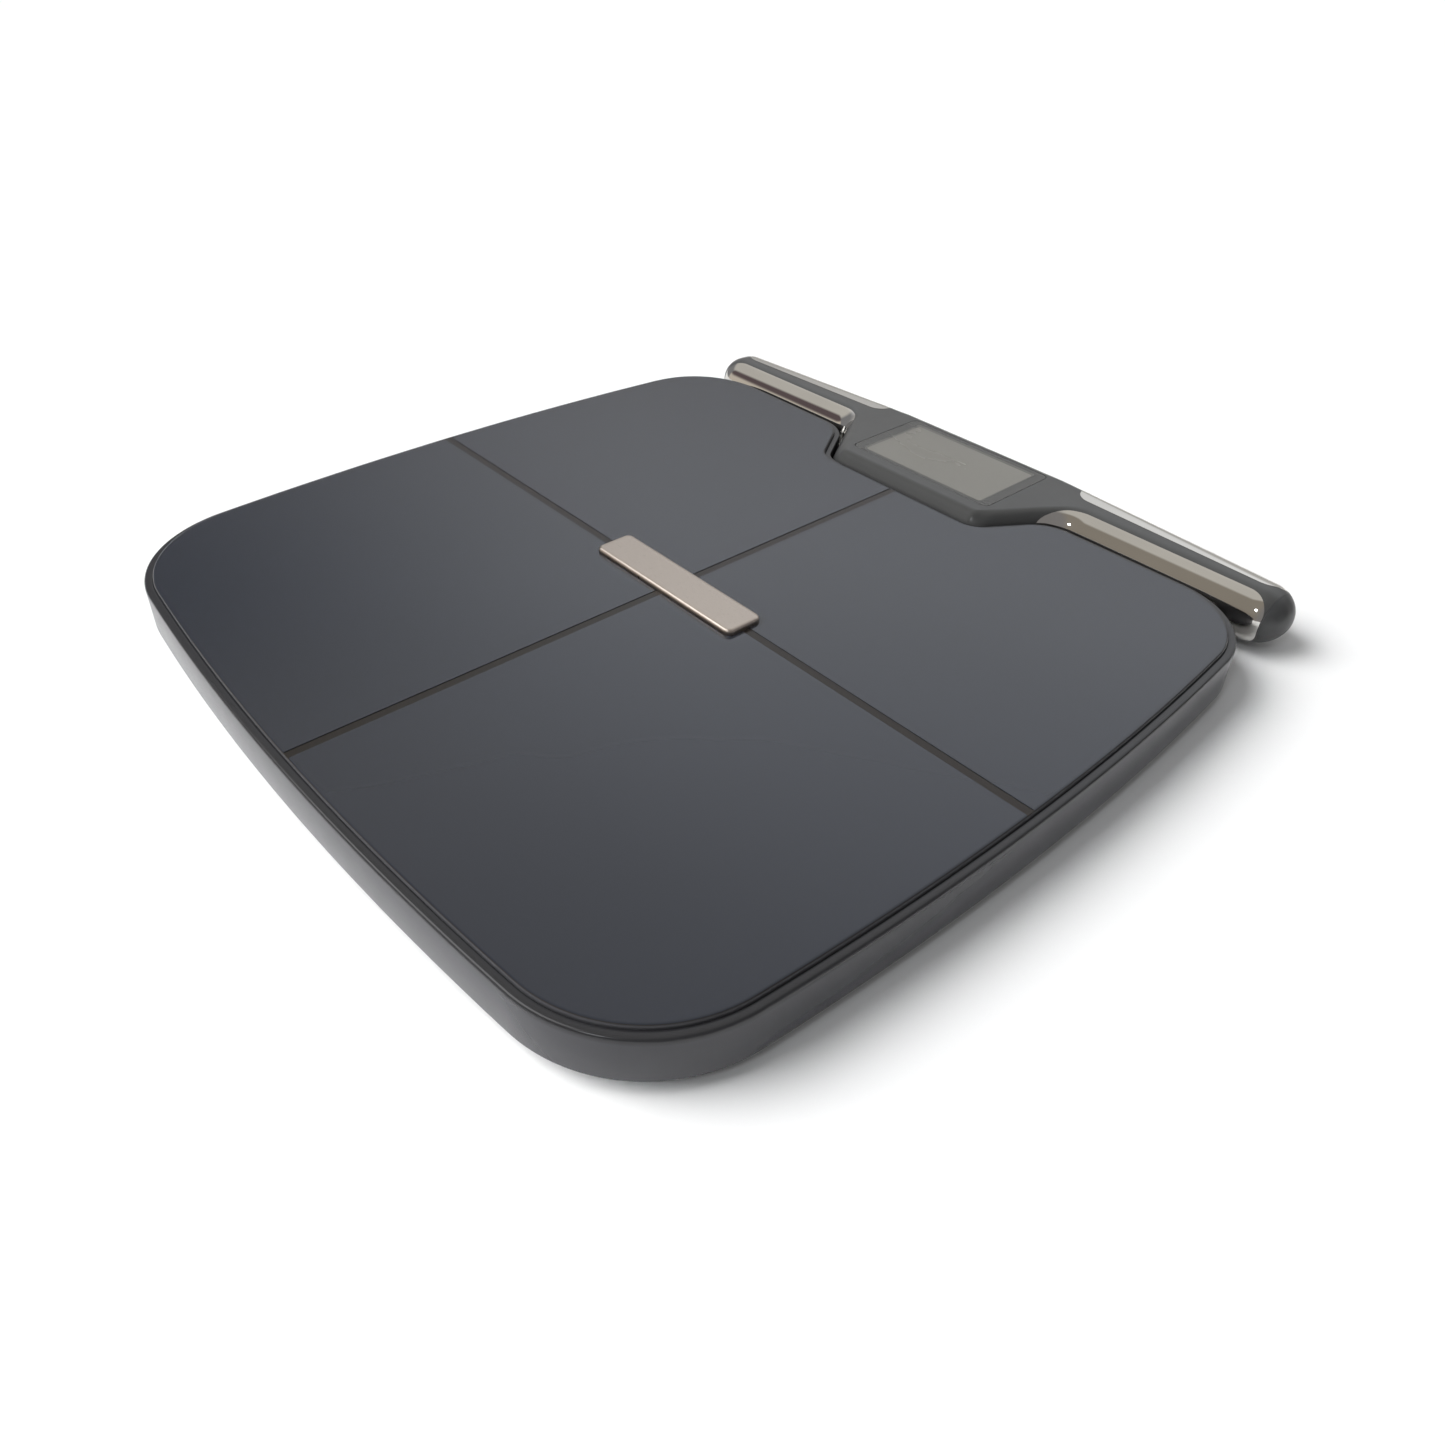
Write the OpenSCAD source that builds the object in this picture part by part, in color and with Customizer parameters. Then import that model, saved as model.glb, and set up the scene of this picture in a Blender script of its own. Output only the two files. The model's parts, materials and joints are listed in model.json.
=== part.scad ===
// Digital bathroom scale: a glass platform with four foot electrodes and a docked handle unit
// that carries the display and four hand electrodes. +X runs along the handle, +Y from the heel
// edge to the handle, +Z up. The origin is on the floor, under the middle of the whole object.

/* [Platform] */
// Overall width of the platform
plat_w = 300; // [296:1:304]
// Depth from the heel edge to the back of the docked handle
total_d = 311; // [310:0.5:312]
// Height of the glass surface above the floor
glass_top = 21.5; // [21.5:0.1:22]
// Distance from the heel edge to the cross-line between toe and heel electrodes
heel_to_cross = 142.3; // [141:0.1:143]
// Distance from the cross-line to the front edge of the frame
cross_to_front = 139.3; // [138.5:0.1:139.5]
// Width of the frame's rim around the glass
rim_w = 3.7; // [3.5:0.1:4]
// Radius of the bowed left and right sides of the glass
side_r = 1066; // [900:10:1300]
// Radius of the bowed heel edge of the glass
heel_r = 1131; // [900:10:1300]
// Radius of the glass corners at the heel
heel_corner_r = 41.6; // [38:0.2:45]
// Radius of the glass corners at the front
front_corner_r = 30.9; // [28:0.1:34]
// Gap between neighbouring foot electrodes
electrode_gap = 3.1; // [2:0.1:4]

/* [Dock notch] */
// Depth of the notch in the glass
notch_depth = 25.1; // [24.5:0.1:25.5]
// Half width of the notch, halfway up its slanted sides
notch_half_w = 47.7; // [47:0.1:49]
// Radius of the notch's outer corners
notch_outer_r = 14; // [12:0.5:15]
// Radius of the notch's inner corners
notch_inner_r = 12; // [11:0.5:13]
// Clearance between the notch's glass edge and the handle's body
dock_gap = 3.7; // [3.5:0.1:4]

/* [Handle unit] */
// Overall length of the handle bar
bar_len = 287; // [285:1:290]
// Depth of the bar, front to back
bar_d = 24.4; // [24:0.1:25]
// Height of the bar
bar_h = 20.6; // [20.2:0.1:20.8]
// Thickness of the handle's shells
shell_t = 1.8; // [1.6:0.1:2]
// Thickness of the hand electrodes
skin_t = 0.85; // [0.7:0.05:0.9]
// Half width of the display lens
lens_hw = 34.6; // [33:0.1:35]
// Depth of the display lens, front to back
lens_d = 39.9; // [38:0.1:40]

/* [Feet and electronics] */
// Distance of each foot from the middle line
foot_x = 106; // [104:1:107]
// Distance of each foot from the cross-line
foot_dy = 100; // [98:1:101]
// Diameter of the cord reel's drum
drum_d = 66; // [60:1:66]
// Radius of a battery cell
cell_r = 5.2; // [5:0.05:5.25]

/* [Hidden] */
$fn = 48;

// Colours of the finishes
glass_colour = [0.16, 0.17, 0.19];
film_colour = [0.25, 0.27, 0.30];
frame_colour = [0.22, 0.22, 0.23];
shell_colour = [0.27, 0.28, 0.26];
chrome_colour = [0.80, 0.77, 0.73];
steel_colour = [0.62, 0.63, 0.65];
board_colour = [0.10, 0.35, 0.20];

// Plan of the platform: the glass edge is offset 0
y_heel = -total_d / 2 + rim_w;
y_cross = -total_d / 2 + heel_to_cross;
y_front = y_cross + cross_to_front - rim_w;
glass_hw = plat_w / 2 - rim_w;
y_side = y_cross - 1.3;
side_c = [glass_hw - side_r, y_side];
heel_c = [0, y_heel + heel_r];
heel_corner_c = circles_meet(side_c, side_r - heel_corner_r, heel_c, heel_r - heel_corner_r);
front_corner_y = y_front - front_corner_r;
front_corner_c = [
    side_c[0] + sqrt(pow(side_r - front_corner_r, 2) - pow(front_corner_y - y_side, 2)),
    front_corner_y
];

// Notch: its sides slope at notch_a from the front edge, and notch_n points out of the glass
notch_a = 58;
notch_n = [cos(90 + notch_a), sin(90 + notch_a)];
y_notch = y_front - notch_depth;
notch_p = [notch_half_w, y_front - notch_depth * 0.454];
notch_outer_y = y_front - notch_outer_r;
notch_inner_c = [
    notch_p[0] + (notch_inner_r - notch_n[1] * (y_notch + notch_inner_r - notch_p[1])) / notch_n[0],
    y_notch + notch_inner_r
];

// Heights of the platform's layers
base_z = 5.5;
base_t = 2;
film_t = 0.2;
film_inset = 0.05;
glass_bevel = 0.7;
glass_edge = 0.9;
gasket_t = 0.3;
glass_t = 5;
glass_bot = glass_top - film_t - glass_t;
ledge_top = glass_bot - gasket_t;
ledge_t = 1.6;
ledge_w = 6;
wall_bot = base_z + 1.4;
rim_top = glass_top - 1.2;
shoulder_z = glass_top - 3.1;
wall_t = 2.4;
notch_rim = 3;
notch_wall_t = 2;

// Handle sections
bar_y1 = total_d / 2;
bar_y0 = bar_y1 - bar_d;
bar_z0 = 2.4;
bar_z1 = bar_z0 + bar_h;
bulge_z0 = 8.2;
bulge_z1 = glass_top + 2.2;
seam_z = 12.7;
flare_r = 13;
flare_y = bar_y0 - flare_r;
flare_x = notch_p[0] + (dock_gap - flare_r - notch_n[1] * (flare_y - notch_p[1])) / notch_n[0];
plateau_w = 6;
rear_start = 40;
cap_start = bar_len / 2 - 11.8;
cap_joint = bar_len / 2 - 6;
grip_start = 52;
grip_step = 0.5;
bar_ry = bar_d / 2 - 1.2;
bar_rz = bar_h / 2 - 0.2;

// Feet, and the load cells that they press, in holders under the glass
foot_pad_t = 3.2;
foot_r = 18;
foot_wall = 1.5;
foot_z0 = 2.2;
foot_z1 = 9.2;
foot_stem_r = 5;
pad_groove = [9, 11, 0.6];
holder_r = 24;
holder_wall = 1.6;
holder_z = 10.6;
cell_hw = 17;
cell_corner_r = 21.6;
cell_z0 = 12.2;
cell_t = 1.2;
cell_pin = 13;
cell_pin_r = 1.4;
cell_slot = [7, 9, 11];
cell_end_slot = 1.8;

// Cord reel
reel_y = 48;
reel_r = drum_d / 2 + 4;
reel_z = base_z + base_t;
reel_h = 7.4;
reel_cover_t = 0.9;
drum_core_r = 19;
drum_z = [1.5, 2.3, 6.1, 6.9];
axle_r = 3;
bore_gap = 0.05;
gland_z = 11.8;
gland_r = 3.2;
gland_l = 4;
gland_flange_r = 4.2;
gland_flange_t = 0.8;
gland_proud = 0.1;
gland_y = y_notch + notch_rim - gland_flange_t + gland_proud;
cord_r = 2;

// Battery bay, open at the bottom
bay_y = -70;
cell_l = 44.5;
cell_pitch = 11;
nub_h = 1;
nub_r = 1.9;
bay_hx = 22.3;
bay_hy = 25.5;
bay_wall = 1.4;
cell_z = base_z - 0.5 + cell_r;
skirt_z = 3;
bay_flange = 4.5;
door_hw = 27.6;
door_y0 = bay_y - 31;
door_y1 = bay_y + 30.8;
door_z0 = 3.4;
door_z1 = 4.8;
door_lip = 1.6;
groove_pitch = 2.4;

// Main board and its button
board = [65, -40];
board_size = [70, 40];
board_z = 10.6;
board_t = 1.2;
board_pin_r = 1.1;
board_pin_edge = 4;
button_p = [45, -30];
button_r = 4;
switch_hw = 3;
switch_h = 1.3;
switch_pin_r = 1.7;

// Case screws, into bosses under the frame's ledge
screw_ps = [
    for (s = [-1, 1]) [s * (glass_hw - 2.8), y_side],
    for (s = [-1, 1]) [s * 60, y_heel + 2.8 + 60 * 60 / (2 * heel_r)],
    for (s = [-1, 1]) [s * 95, y_front - 2.8]
];
screw_r = 1.4;
screw_head_r = 2.8;
screw_head_h = 1;
screw_l = 6;
boss_r = 3.3;

// ---- Functions ----

// Point where two circles meet, on the right of the line from the first to the second
function circles_meet(c1, r1, c2, r2) =
    let (
        d = norm(c2 - c1),
        e = (c2 - c1) / d,
        t = (r1 * r1 - r2 * r2 + d * d) / (2 * d),
        h = sqrt(r1 * r1 - t * t)
    )
    c1 + e * t + h * [e[1], -e[0]];

function arc(c, r, a0, a1, n) = [
    for (i = [0:n]) c + r * [cos(a0 + (a1 - a0) * i / n), sin(a0 + (a1 - a0) * i / n)]
];

function heading(a, b) = atan2(b[1] - a[1], b[0] - a[0]);

function mix(a, b, t) = a + (b - a) * t;

function smooth(t) = let (u = min(max(t, 0), 1)) u * u * (3 - 2 * u);

// Mirrors a half outline, given from the heel's middle to the front's middle, into a whole one
function whole(half) = concat(
    half,
    [for (i = [len(half) - 1:-1:0]) if (abs(half[i][0]) > 0.001) [-half[i][0], half[i][1]]]
);

// Right half of the platform's convex outline, offset outwards by d, as far as the front edge
function convex_half(d) = concat(
    arc(heel_c, heel_r + d, -90, heading(heel_c, heel_corner_c), 8),
    arc(heel_corner_c, heel_corner_r + d, heading(heel_c, heel_corner_c) + 4,
        heading(side_c, heel_corner_c) - 4, 16),
    arc(side_c, side_r + d, heading(side_c, heel_corner_c), heading(side_c, front_corner_c), 18),
    arc(front_corner_c, front_corner_r + d, heading(side_c, front_corner_c) + 4, 90, 14)
);

// Outline with the notch: d is the offset outside, e the offset into the notch
function notched_outline(d, e) =
    let (
        outer_c = [
            notch_p[0] - (notch_outer_r + d - e - notch_n[1] * (notch_p[1] - notch_outer_y))
                / notch_n[0],
            notch_outer_y
        ]
    )
    whole(concat(
        convex_half(d),
        arc(outer_c, notch_outer_r + d, 90, 90 + notch_a, 9),
        arc(notch_inner_c, notch_inner_r - e, 270 + notch_a, 270, 9),
        [[0, y_notch + e]]
    ));

// Front edge of the handle's body at distance x from the middle, moved back by w
function body_front(x, w) =
    let (
        r_in = notch_inner_r - dock_gap - w,
        r_out = flare_r + w,
        x_in = notch_inner_c[0] + r_in * sin(notch_a),
        x_out = flare_x - r_out * sin(notch_a),
        y_in = notch_inner_c[1] - r_in * cos(notch_a)
    )
    x <= notch_inner_c[0] ? y_notch + dock_gap + w
    : x <= x_in ? notch_inner_c[1] - sqrt(r_in * r_in - pow(x - notch_inner_c[0], 2))
    : x <= x_out ? y_in + (x - x_in) * tan(notch_a)
    : x <= flare_x ? flare_y + sqrt(r_out * r_out - pow(flare_x - x, 2))
    : flare_y + r_out;

// How far the section has turned from the wide body to the round bar
function bar_share(x) = smooth((abs(x) - notch_inner_c[0] - 3) / (flare_x - notch_inner_c[0] - 3));

// The same for the rear top of the section, which thins evenly towards the bar's ends
function rear_share(x) = min(max((abs(x) - rear_start) / (cap_start - rear_start), 0), 1);

// Scale of the section in the rounded end
function end_scale(x) =
    abs(x) <= cap_start ? 1
    : sqrt(1 - pow((abs(x) - cap_start) / (bar_len / 2 - cap_start), 2));

// Point of the handle's section at x: q is the quarter (0 back top, 1 front top, 2 front bottom,
// 3 back bottom), a the angle in it, and inset the depth under the surface
function skin_point(x, q, a, inset) =
    let (
        t = bar_share(x),
        s = end_scale(x),
        y0 = body_front(abs(x), 0),
        z0 = mix(bulge_z0, bar_z0, t),
        z1 = mix(bulge_z1, bar_z1, rear_share(x)),
        ry = mix([3.6, body_front(abs(x), plateau_w) - y0, 5, 4][q], bar_ry, q == 0 ? rear_share(x) : t),
        rz = mix([3.6, 8.5, 4, 4][q], bar_rz, q == 0 ? rear_share(x) : t),
        cy = (q == 0 || q == 3) ? bar_y1 - ry : y0 + ry,
        cz = q < 2 ? z1 - rz : z0 + rz,
        y = cy + (ry - inset / s) * cos(a),
        z = cz + (rz - inset / s) * sin(a),
        my = (bar_y0 + bar_y1) / 2,
        mz = (bar_z0 + bar_z1) / 2
    )
    [x, my + (y - my) * s, mz + (z - mz) * s];

// Point of the section at the seam between the two shells
function seam_point(x, front, inset) =
    let (p = skin_point(x, front ? 1 : 0, front ? 180 : 0, inset)) [x, p[1], seam_z];

// Stations along the handle's right half
body_stations = concat(
    [0, 16, notch_inner_c[0]],
    [for (i = [1:5]) notch_inner_c[0] + i * 1.6],
    [for (x = [43:2.2:50]) x]
);
grip_stations = concat(
    [grip_start],
    [for (i = [1:4]) mix(grip_start, flare_x, i / 5)],
    [flare_x, 97, cap_start, cap_start + 2.5, cap_start + 4.5, cap_joint]
);
half_stations = concat(body_stations, [grip_start - grip_step], grip_stations);
stations = concat(
    [for (i = [len(half_stations) - 1:-1:1]) -half_stations[i]],
    half_stations
);

// Angles at which the electrodes' upper and lower edges lie, and the angles between them
strip_a = 66;
top_angles = [
    [0, 0], [0, 22], [0, 44], [0, strip_a - 2], [0, strip_a], [0, 78], [0, 90],
    [1, 90], [1, 102], [1, 180 - strip_a], [1, 182 - strip_a], [1, 136], [1, 158], [1, 180]
];
bottom_angles = [for (p = top_angles) [3 - p[0], 360 - p[1]]];

// True where an electrode covers the shell
function covered(q, a) =
    let (b = q < 2 ? a : 360 - a) b < strip_a - 1 || b > 181 - strip_a;

function shell_outer(x, angles) = concat(
    [seam_point(x, false, abs(x) >= grip_start ? skin_t + 0.1 : 0)],
    [
        for (p = angles)
            skin_point(x, p[0], p[1],
                (abs(x) >= grip_start && covered(p[0], p[1])) ? skin_t + 0.1 : 0)
    ],
    [seam_point(x, true, abs(x) >= grip_start ? skin_t + 0.1 : 0)]
);

function shell_inner(x, angles, depth) = concat(
    [seam_point(x, false, depth)],
    [for (p = angles) skin_point(x, p[0], p[1], depth)],
    [seam_point(x, true, depth)]
);

// ---- Solids from grids of points ----

// Curved plate between two grids, a[station][k] and b[station][k]
module plate_loft(a, b) {
    n = len(a);
    m = len(a[0]);
    points = [for (g = [a, b]) for (row = g) for (p = row) p];
    function id(g, i, k) = (g * n + i) * m + k;
    faces = concat(
        [for (i = [0:n - 2]) for (k = [0:m - 2]) for (f = [
            [id(0, i, k), id(0, i, k + 1), id(0, i + 1, k + 1)],
            [id(0, i, k), id(0, i + 1, k + 1), id(0, i + 1, k)],
            [id(1, i, k), id(1, i + 1, k + 1), id(1, i, k + 1)],
            [id(1, i, k), id(1, i + 1, k), id(1, i + 1, k + 1)]
        ]) f],
        [for (i = [0:n - 2]) for (f = [
            [id(0, i, 0), id(0, i + 1, 0), id(1, i + 1, 0)],
            [id(0, i, 0), id(1, i + 1, 0), id(1, i, 0)],
            [id(0, i, m - 1), id(1, i + 1, m - 1), id(0, i + 1, m - 1)],
            [id(0, i, m - 1), id(1, i, m - 1), id(1, i + 1, m - 1)]
        ]) f],
        [for (k = [0:m - 2]) for (f = [
            [id(0, 0, k), id(1, 0, k + 1), id(0, 0, k + 1)],
            [id(0, 0, k), id(1, 0, k), id(1, 0, k + 1)],
            [id(0, n - 1, k), id(0, n - 1, k + 1), id(1, n - 1, k + 1)],
            [id(0, n - 1, k), id(1, n - 1, k + 1), id(1, n - 1, k)]
        ]) f]
    );
    polyhedron(points, faces);
}

// Solid through closed rings of points, with flat ends; the first point sees its whole ring
module ring_loft(rings) {
    n = len(rings);
    m = len(rings[0]);
    points = [for (r = rings) for (p = r) p];
    faces = concat(
        [[for (k = [m - 1:-1:0]) k]],
        [for (i = [0:n - 2]) for (k = [0:m - 1]) for (f = [
            [i * m + k, i * m + (k + 1) % m, (i + 1) * m + (k + 1) % m],
            [i * m + k, (i + 1) * m + (k + 1) % m, (i + 1) * m + k]
        ]) f],
        [[for (k = [0:m - 1]) (n - 1) * m + k]]
    );
    polyhedron(points, faces);
}

// Closed ring-shaped solid: rings[i] is one closed line of points of a closed profile
module band_loft(rings) {
    n = len(rings);
    m = len(rings[0]);
    points = [for (r = rings) for (p = r) p];
    faces = [for (i = [0:n - 1]) for (k = [0:m - 1]) for (f = [
        [i * m + k, ((i + 1) % n) * m + (k + 1) % m, i * m + (k + 1) % m],
        [i * m + k, ((i + 1) % n) * m + k, ((i + 1) % n) * m + (k + 1) % m]
    ]) f];
    polyhedron(points, faces);
}

function raised(outline, z) = [for (p = outline) [p[0], p[1], z]];

module at_foot(side, end) {
    translate([side * foot_x, y_cross + end * foot_dy, 0]) children();
}

module at_board_pin(sx, sy) {
    translate([
        board[0] + sx * (board_size[0] / 2 - board_pin_edge),
        board[1] + sy * (board_size[1] / 2 - board_pin_edge),
        0
    ])
        children();
}

module block(x0, x1, y0, y1, z0, z1) {
    translate([x0, y0, z0]) cube([x1 - x0, y1 - y0, z1 - z0]);
}

module disc(r, z0, z1) {
    translate([0, 0, z0]) cylinder(r = r, h = z1 - z0);
}

// ---- Platform ----

module glass_top() {
    color(glass_colour)
        ring_loft([
            raised(notched_outline(glass_edge, glass_bevel), glass_bot),
            raised(notched_outline(glass_edge, glass_bevel), glass_top - film_t - glass_bevel),
            raised(notched_outline(0, 0), glass_top - film_t)
        ]);
}

// One quarter of the conductive film on the glass
module foot_electrode(side, end) {
    color(film_colour)
        translate([0, 0, glass_top - film_t])
            linear_extrude(height = film_t)
                difference() {
                    intersection() {
                        polygon(notched_outline(-film_inset, -film_inset));
                        translate([
                            side > 0 ? electrode_gap / 2 : -plat_w,
                            end > 0 ? y_cross + electrode_gap / 2 : y_cross - plat_w
                        ])
                            square([
                                plat_w - (side > 0 ? 0 : electrode_gap / 2),
                                plat_w - (end > 0 ? 0 : electrode_gap / 2)
                            ]);
                    }
                    polygon([for (p = plate_ring(-plate_gap, 0)) [p[0], p[1]]]);
                }
}

module toe_electrode_left() { foot_electrode(-1, 1); }
module toe_electrode_right() { foot_electrode(1, 1); }
module heel_electrode_left() { foot_electrode(-1, -1); }
module heel_electrode_right() { foot_electrode(1, -1); }

plate_hx = 34.9;
plate_hy = 7.5;
plate_r = 2.6;
plate_t = 2;
plate_bevel = 0.7;
plate_gap = 0.1;

// Rounded rectangle around the electrodes' crossing, inset by d
function plate_ring(d, z) = [
    for (c = [[1, -1, 270], [1, 1, 0], [-1, 1, 90], [-1, -1, 180]])
        for (i = [0:6])
            [
                c[0] * (plate_hx - plate_r) + (plate_r - d) * cos(c[2] + i * 15),
                y_cross + c[1] * (plate_hy - plate_r) + (plate_r - d) * sin(c[2] + i * 15),
                z
            ]
];

module centre_plate() {
    color([0.72, 0.68, 0.62])
        ring_loft([
            plate_ring(0, glass_top - film_t),
            plate_ring(0, glass_top + plate_t - plate_bevel),
            plate_ring(plate_bevel * 0.3, glass_top + plate_t - plate_bevel * 0.3),
            plate_ring(plate_bevel, glass_top + plate_t)
        ]);
}

module glass_gasket() {
    color([0.1, 0.1, 0.1])
        translate([0, 0, ledge_top])
            linear_extrude(height = gasket_t)
                difference() {
                    polygon(notched_outline(0.4, 0.2));
                    polygon(notched_outline(0.5 - ledge_w, 0.5 - ledge_w));
                }
}

// Profile of the frame: [offset outside, offset at the notch, height], bottom first
frame_profile = [
    [rim_w, notch_rim, wall_bot],
    [rim_w, notch_rim, shoulder_z],
    [rim_w - 0.3, notch_rim - 0.12, shoulder_z + 1],
    [rim_w - 0.9, notch_rim - 0.42, rim_top - 0.25],
    [rim_w - 1.8, notch_rim - 0.8, rim_top],
    [glass_edge + 0.3, glass_bevel + 0.3, rim_top - 0.1],
    [glass_edge + 0.3, glass_bevel + 0.3, ledge_top],
    [-ledge_w, -ledge_w, ledge_top],
    [-ledge_w, -ledge_w, ledge_top - ledge_t],
    [rim_w - wall_t, notch_rim - notch_wall_t, ledge_top - ledge_t],
    [rim_w - wall_t, notch_rim - notch_wall_t, wall_bot]
];

module top_frame() {
    color(frame_colour)
        difference() {
            union() {
                band_loft([for (p = frame_profile) raised(notched_outline(p[0], p[1]), p[2])]);
                for (p = screw_ps)
                    translate([p[0], p[1], 0])
                        disc(boss_r, base_z + base_t, ledge_top - ledge_t + 0.4);
            }
            for (p = screw_ps)
                translate([p[0], p[1], 0])
                    disc(screw_r + bore_gap, base_z, ledge_top - ledge_t - 0.6);
            translate([0, y_notch + 8, gland_z])
                rotate([90, 0, 0]) {
                    cylinder(r = gland_r + bore_gap, h = 12);
                    cylinder(r = gland_flange_r + bore_gap, h = y_notch + 8 - gland_y);
                }
        }
}

// Tongue of the base that reaches under the docked handle, and the pads on it
tongue_hw = 34;
tongue_y = 142;
tongue_y0 = y_notch + notch_rim + 0.2;
base_skin = 1.3;
dock_pad_x = 24;
dock_pad_y = 122;
dock_pad_r = 5;

// Walls that guide the battery door on three sides, open towards the heel
module door_skirt() {
    difference() {
        block(-door_hw - 5.4, door_hw + 5.4, door_y0 - 0.5, door_y1 + 3.2, skirt_z, base_z);
        block(-door_hw - 0.4, door_hw + 0.4, door_y0 - 1, door_y1 + 0.4, skirt_z - 1, base_z + 1);
        block(-door_hw - door_lip - 0.4, door_hw + door_lip + 0.4, door_y0 - 1, door_y1 + 0.4,
            door_z0 + 0.3, door_z1 - 0.1);
    }
}

module base_cover() {
    color([0.17, 0.17, 0.18])
        difference() {
            union() {
                translate([0, 0, base_z])
                    linear_extrude(height = base_skin)
                        polygon(notched_outline(rim_w - 0.2, notch_rim - 0.2));
                translate([0, 0, base_z + 1])
                    linear_extrude(height = base_t - 1)
                        polygon(notched_outline(rim_w - wall_t - 0.2, notch_rim - notch_wall_t - 0.2));
                block(-tongue_hw, tongue_hw, y_notch, tongue_y, base_z, base_z + base_skin);
                block(-tongue_hw, tongue_hw, tongue_y0, tongue_y, base_z + 1, base_z + base_t);
                door_skirt();
                for (sx = [-1, 1])
                    for (sy = [-1, 1])
                        at_board_pin(sx, sy) {
                            disc(board_pin_r + 1.5, base_z + 1, board_z);
                            disc(board_pin_r, base_z + 1, board_z + board_t + 0.8);
                        }
            }
            for (side = [-1, 1])
                for (end = [-1, 1])
                    at_foot(side, end) disc(foot_r + 1, 0, 20);
            block(-bay_hx - bay_wall - 0.2, bay_hx + bay_wall + 0.2,
                bay_y - bay_hy - bay_wall - 0.2, bay_y + bay_hy + bay_wall + 0.2, base_z - 1, 20);
            translate([button_p[0], button_p[1], 0]) disc(button_r + 0.3, 0, base_z + base_t + 0.1);
            for (p = screw_ps)
                translate([p[0], p[1], 0]) {
                    disc(screw_r + 0.3, 0, 20);
                    disc(screw_head_r + 0.3, 0, base_z + 0.1 + screw_head_h);
                }
        }
}

// Cup bonded under the glass, which clamps the load cell's rim
module cell_holder(side, end) {
    color([0.75, 0.75, 0.73])
        at_foot(side, end) {
            difference() {
                disc(holder_r, holder_z, glass_bot);
                disc(holder_r - holder_wall, holder_z - 1, glass_bot - holder_wall);
            }
            for (sx = [-1, 1])
                for (sy = [-1, 1])
                    translate([sx * cell_pin, sy * cell_pin, 0]) {
                        disc(cell_pin_r + 1, cell_z0 + cell_t, glass_bot - holder_wall + 0.1);
                        disc(cell_pin_r, cell_z0 - 0.3, cell_z0 + cell_t + 0.1);
                    }
        }
}

module cell_holder_toe_left() { cell_holder(-1, 1); }
module cell_holder_toe_right() { cell_holder(1, 1); }
module cell_holder_heel_left() { cell_holder(-1, -1); }
module cell_holder_heel_right() { cell_holder(1, -1); }

// Slot through the load cell from y0 to the end of its tongue
module cell_cut(x0, x1, y0) {
    block(x0, x1, y0, cell_slot[2], cell_z0 - 1, cell_z0 + cell_t + 1);
}

// Steel half-bridge cell: an outer frame with a tongue that the foot presses
module load_cell(side, end) {
    color(steel_colour)
        at_foot(side, end)
            difference() {
                intersection() {
                    block(-cell_hw, cell_hw, -cell_hw, cell_hw, cell_z0, cell_z0 + cell_t);
                    disc(cell_corner_r, cell_z0 - 1, cell_z0 + cell_t + 1);
                }
                for (sx = [-1, 1]) {
                    cell_cut(sx < 0 ? -cell_slot[1] : cell_slot[0], sx < 0 ? -cell_slot[0] : cell_slot[1],
                        -cell_slot[2]);
                    for (sy = [-1, 1])
                        translate([sx * cell_pin, sy * cell_pin, 0])
                            disc(cell_pin_r + bore_gap, cell_z0 - 1, cell_z0 + cell_t + 1);
                }
                cell_cut(-cell_slot[1], cell_slot[1], cell_slot[2] - cell_end_slot);
            }
}

module load_cell_toe_left() { load_cell(-1, 1); }
module load_cell_toe_right() { load_cell(1, 1); }
module load_cell_heel_left() { load_cell(-1, -1); }
module load_cell_heel_right() { load_cell(1, -1); }

module foot(side, end) {
    color([0.14, 0.14, 0.15])
        at_foot(side, end) {
            difference() {
                disc(foot_r, foot_z0, foot_z1);
                disc(foot_r - foot_wall, foot_z0 - 1, foot_pad_t);
            }
            disc(foot_stem_r, foot_z1 - 0.2, cell_z0);
        }
}

module foot_toe_left() { foot(-1, 1); }
module foot_toe_right() { foot(1, 1); }
module foot_heel_left() { foot(-1, -1); }
module foot_heel_right() { foot(1, -1); }

module foot_pad(side, end) {
    color([0.32, 0.32, 0.33])
        at_foot(side, end)
            difference() {
                disc(foot_r - foot_wall - 0.1, 0, foot_pad_t);
                difference() {
                    disc(pad_groove[1], -1, pad_groove[2]);
                    disc(pad_groove[0], -1, pad_groove[2] + 0.1);
                }
            }
}

module foot_pad_toe_left() { foot_pad(-1, 1); }
module foot_pad_toe_right() { foot_pad(1, 1); }
module foot_pad_heel_left() { foot_pad(-1, -1); }
module foot_pad_heel_right() { foot_pad(1, -1); }

// Part of the given size and height on the main board, at p from the board's middle
module chip(p, size, h) {
    block(board[0] + p[0] - size[0] / 2, board[0] + p[0] + size[0] / 2,
        board[1] + p[1] - size[1] / 2, board[1] + p[1] + size[1] / 2,
        board_z + board_t - 0.2, board_z + board_t + h);
}

module main_board() {
    color(board_colour)
        difference() {
            union() {
                block(board[0] - board_size[0] / 2, board[0] + board_size[0] / 2,
                    board[1] - board_size[1] / 2, board[1] + board_size[1] / 2,
                    board_z, board_z + board_t);
                chip([-3, 0], [10, 10], 1.2);
                chip([17, -4], [14, 16], 0.9);
                chip([-22, 12.5], [16, 5], 3);
            }
            for (sx = [-1, 1])
                for (sy = [-1, 1])
                    at_board_pin(sx, sy) disc(board_pin_r + bore_gap, board_z - 1, board_z + 4);
        }
}

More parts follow.
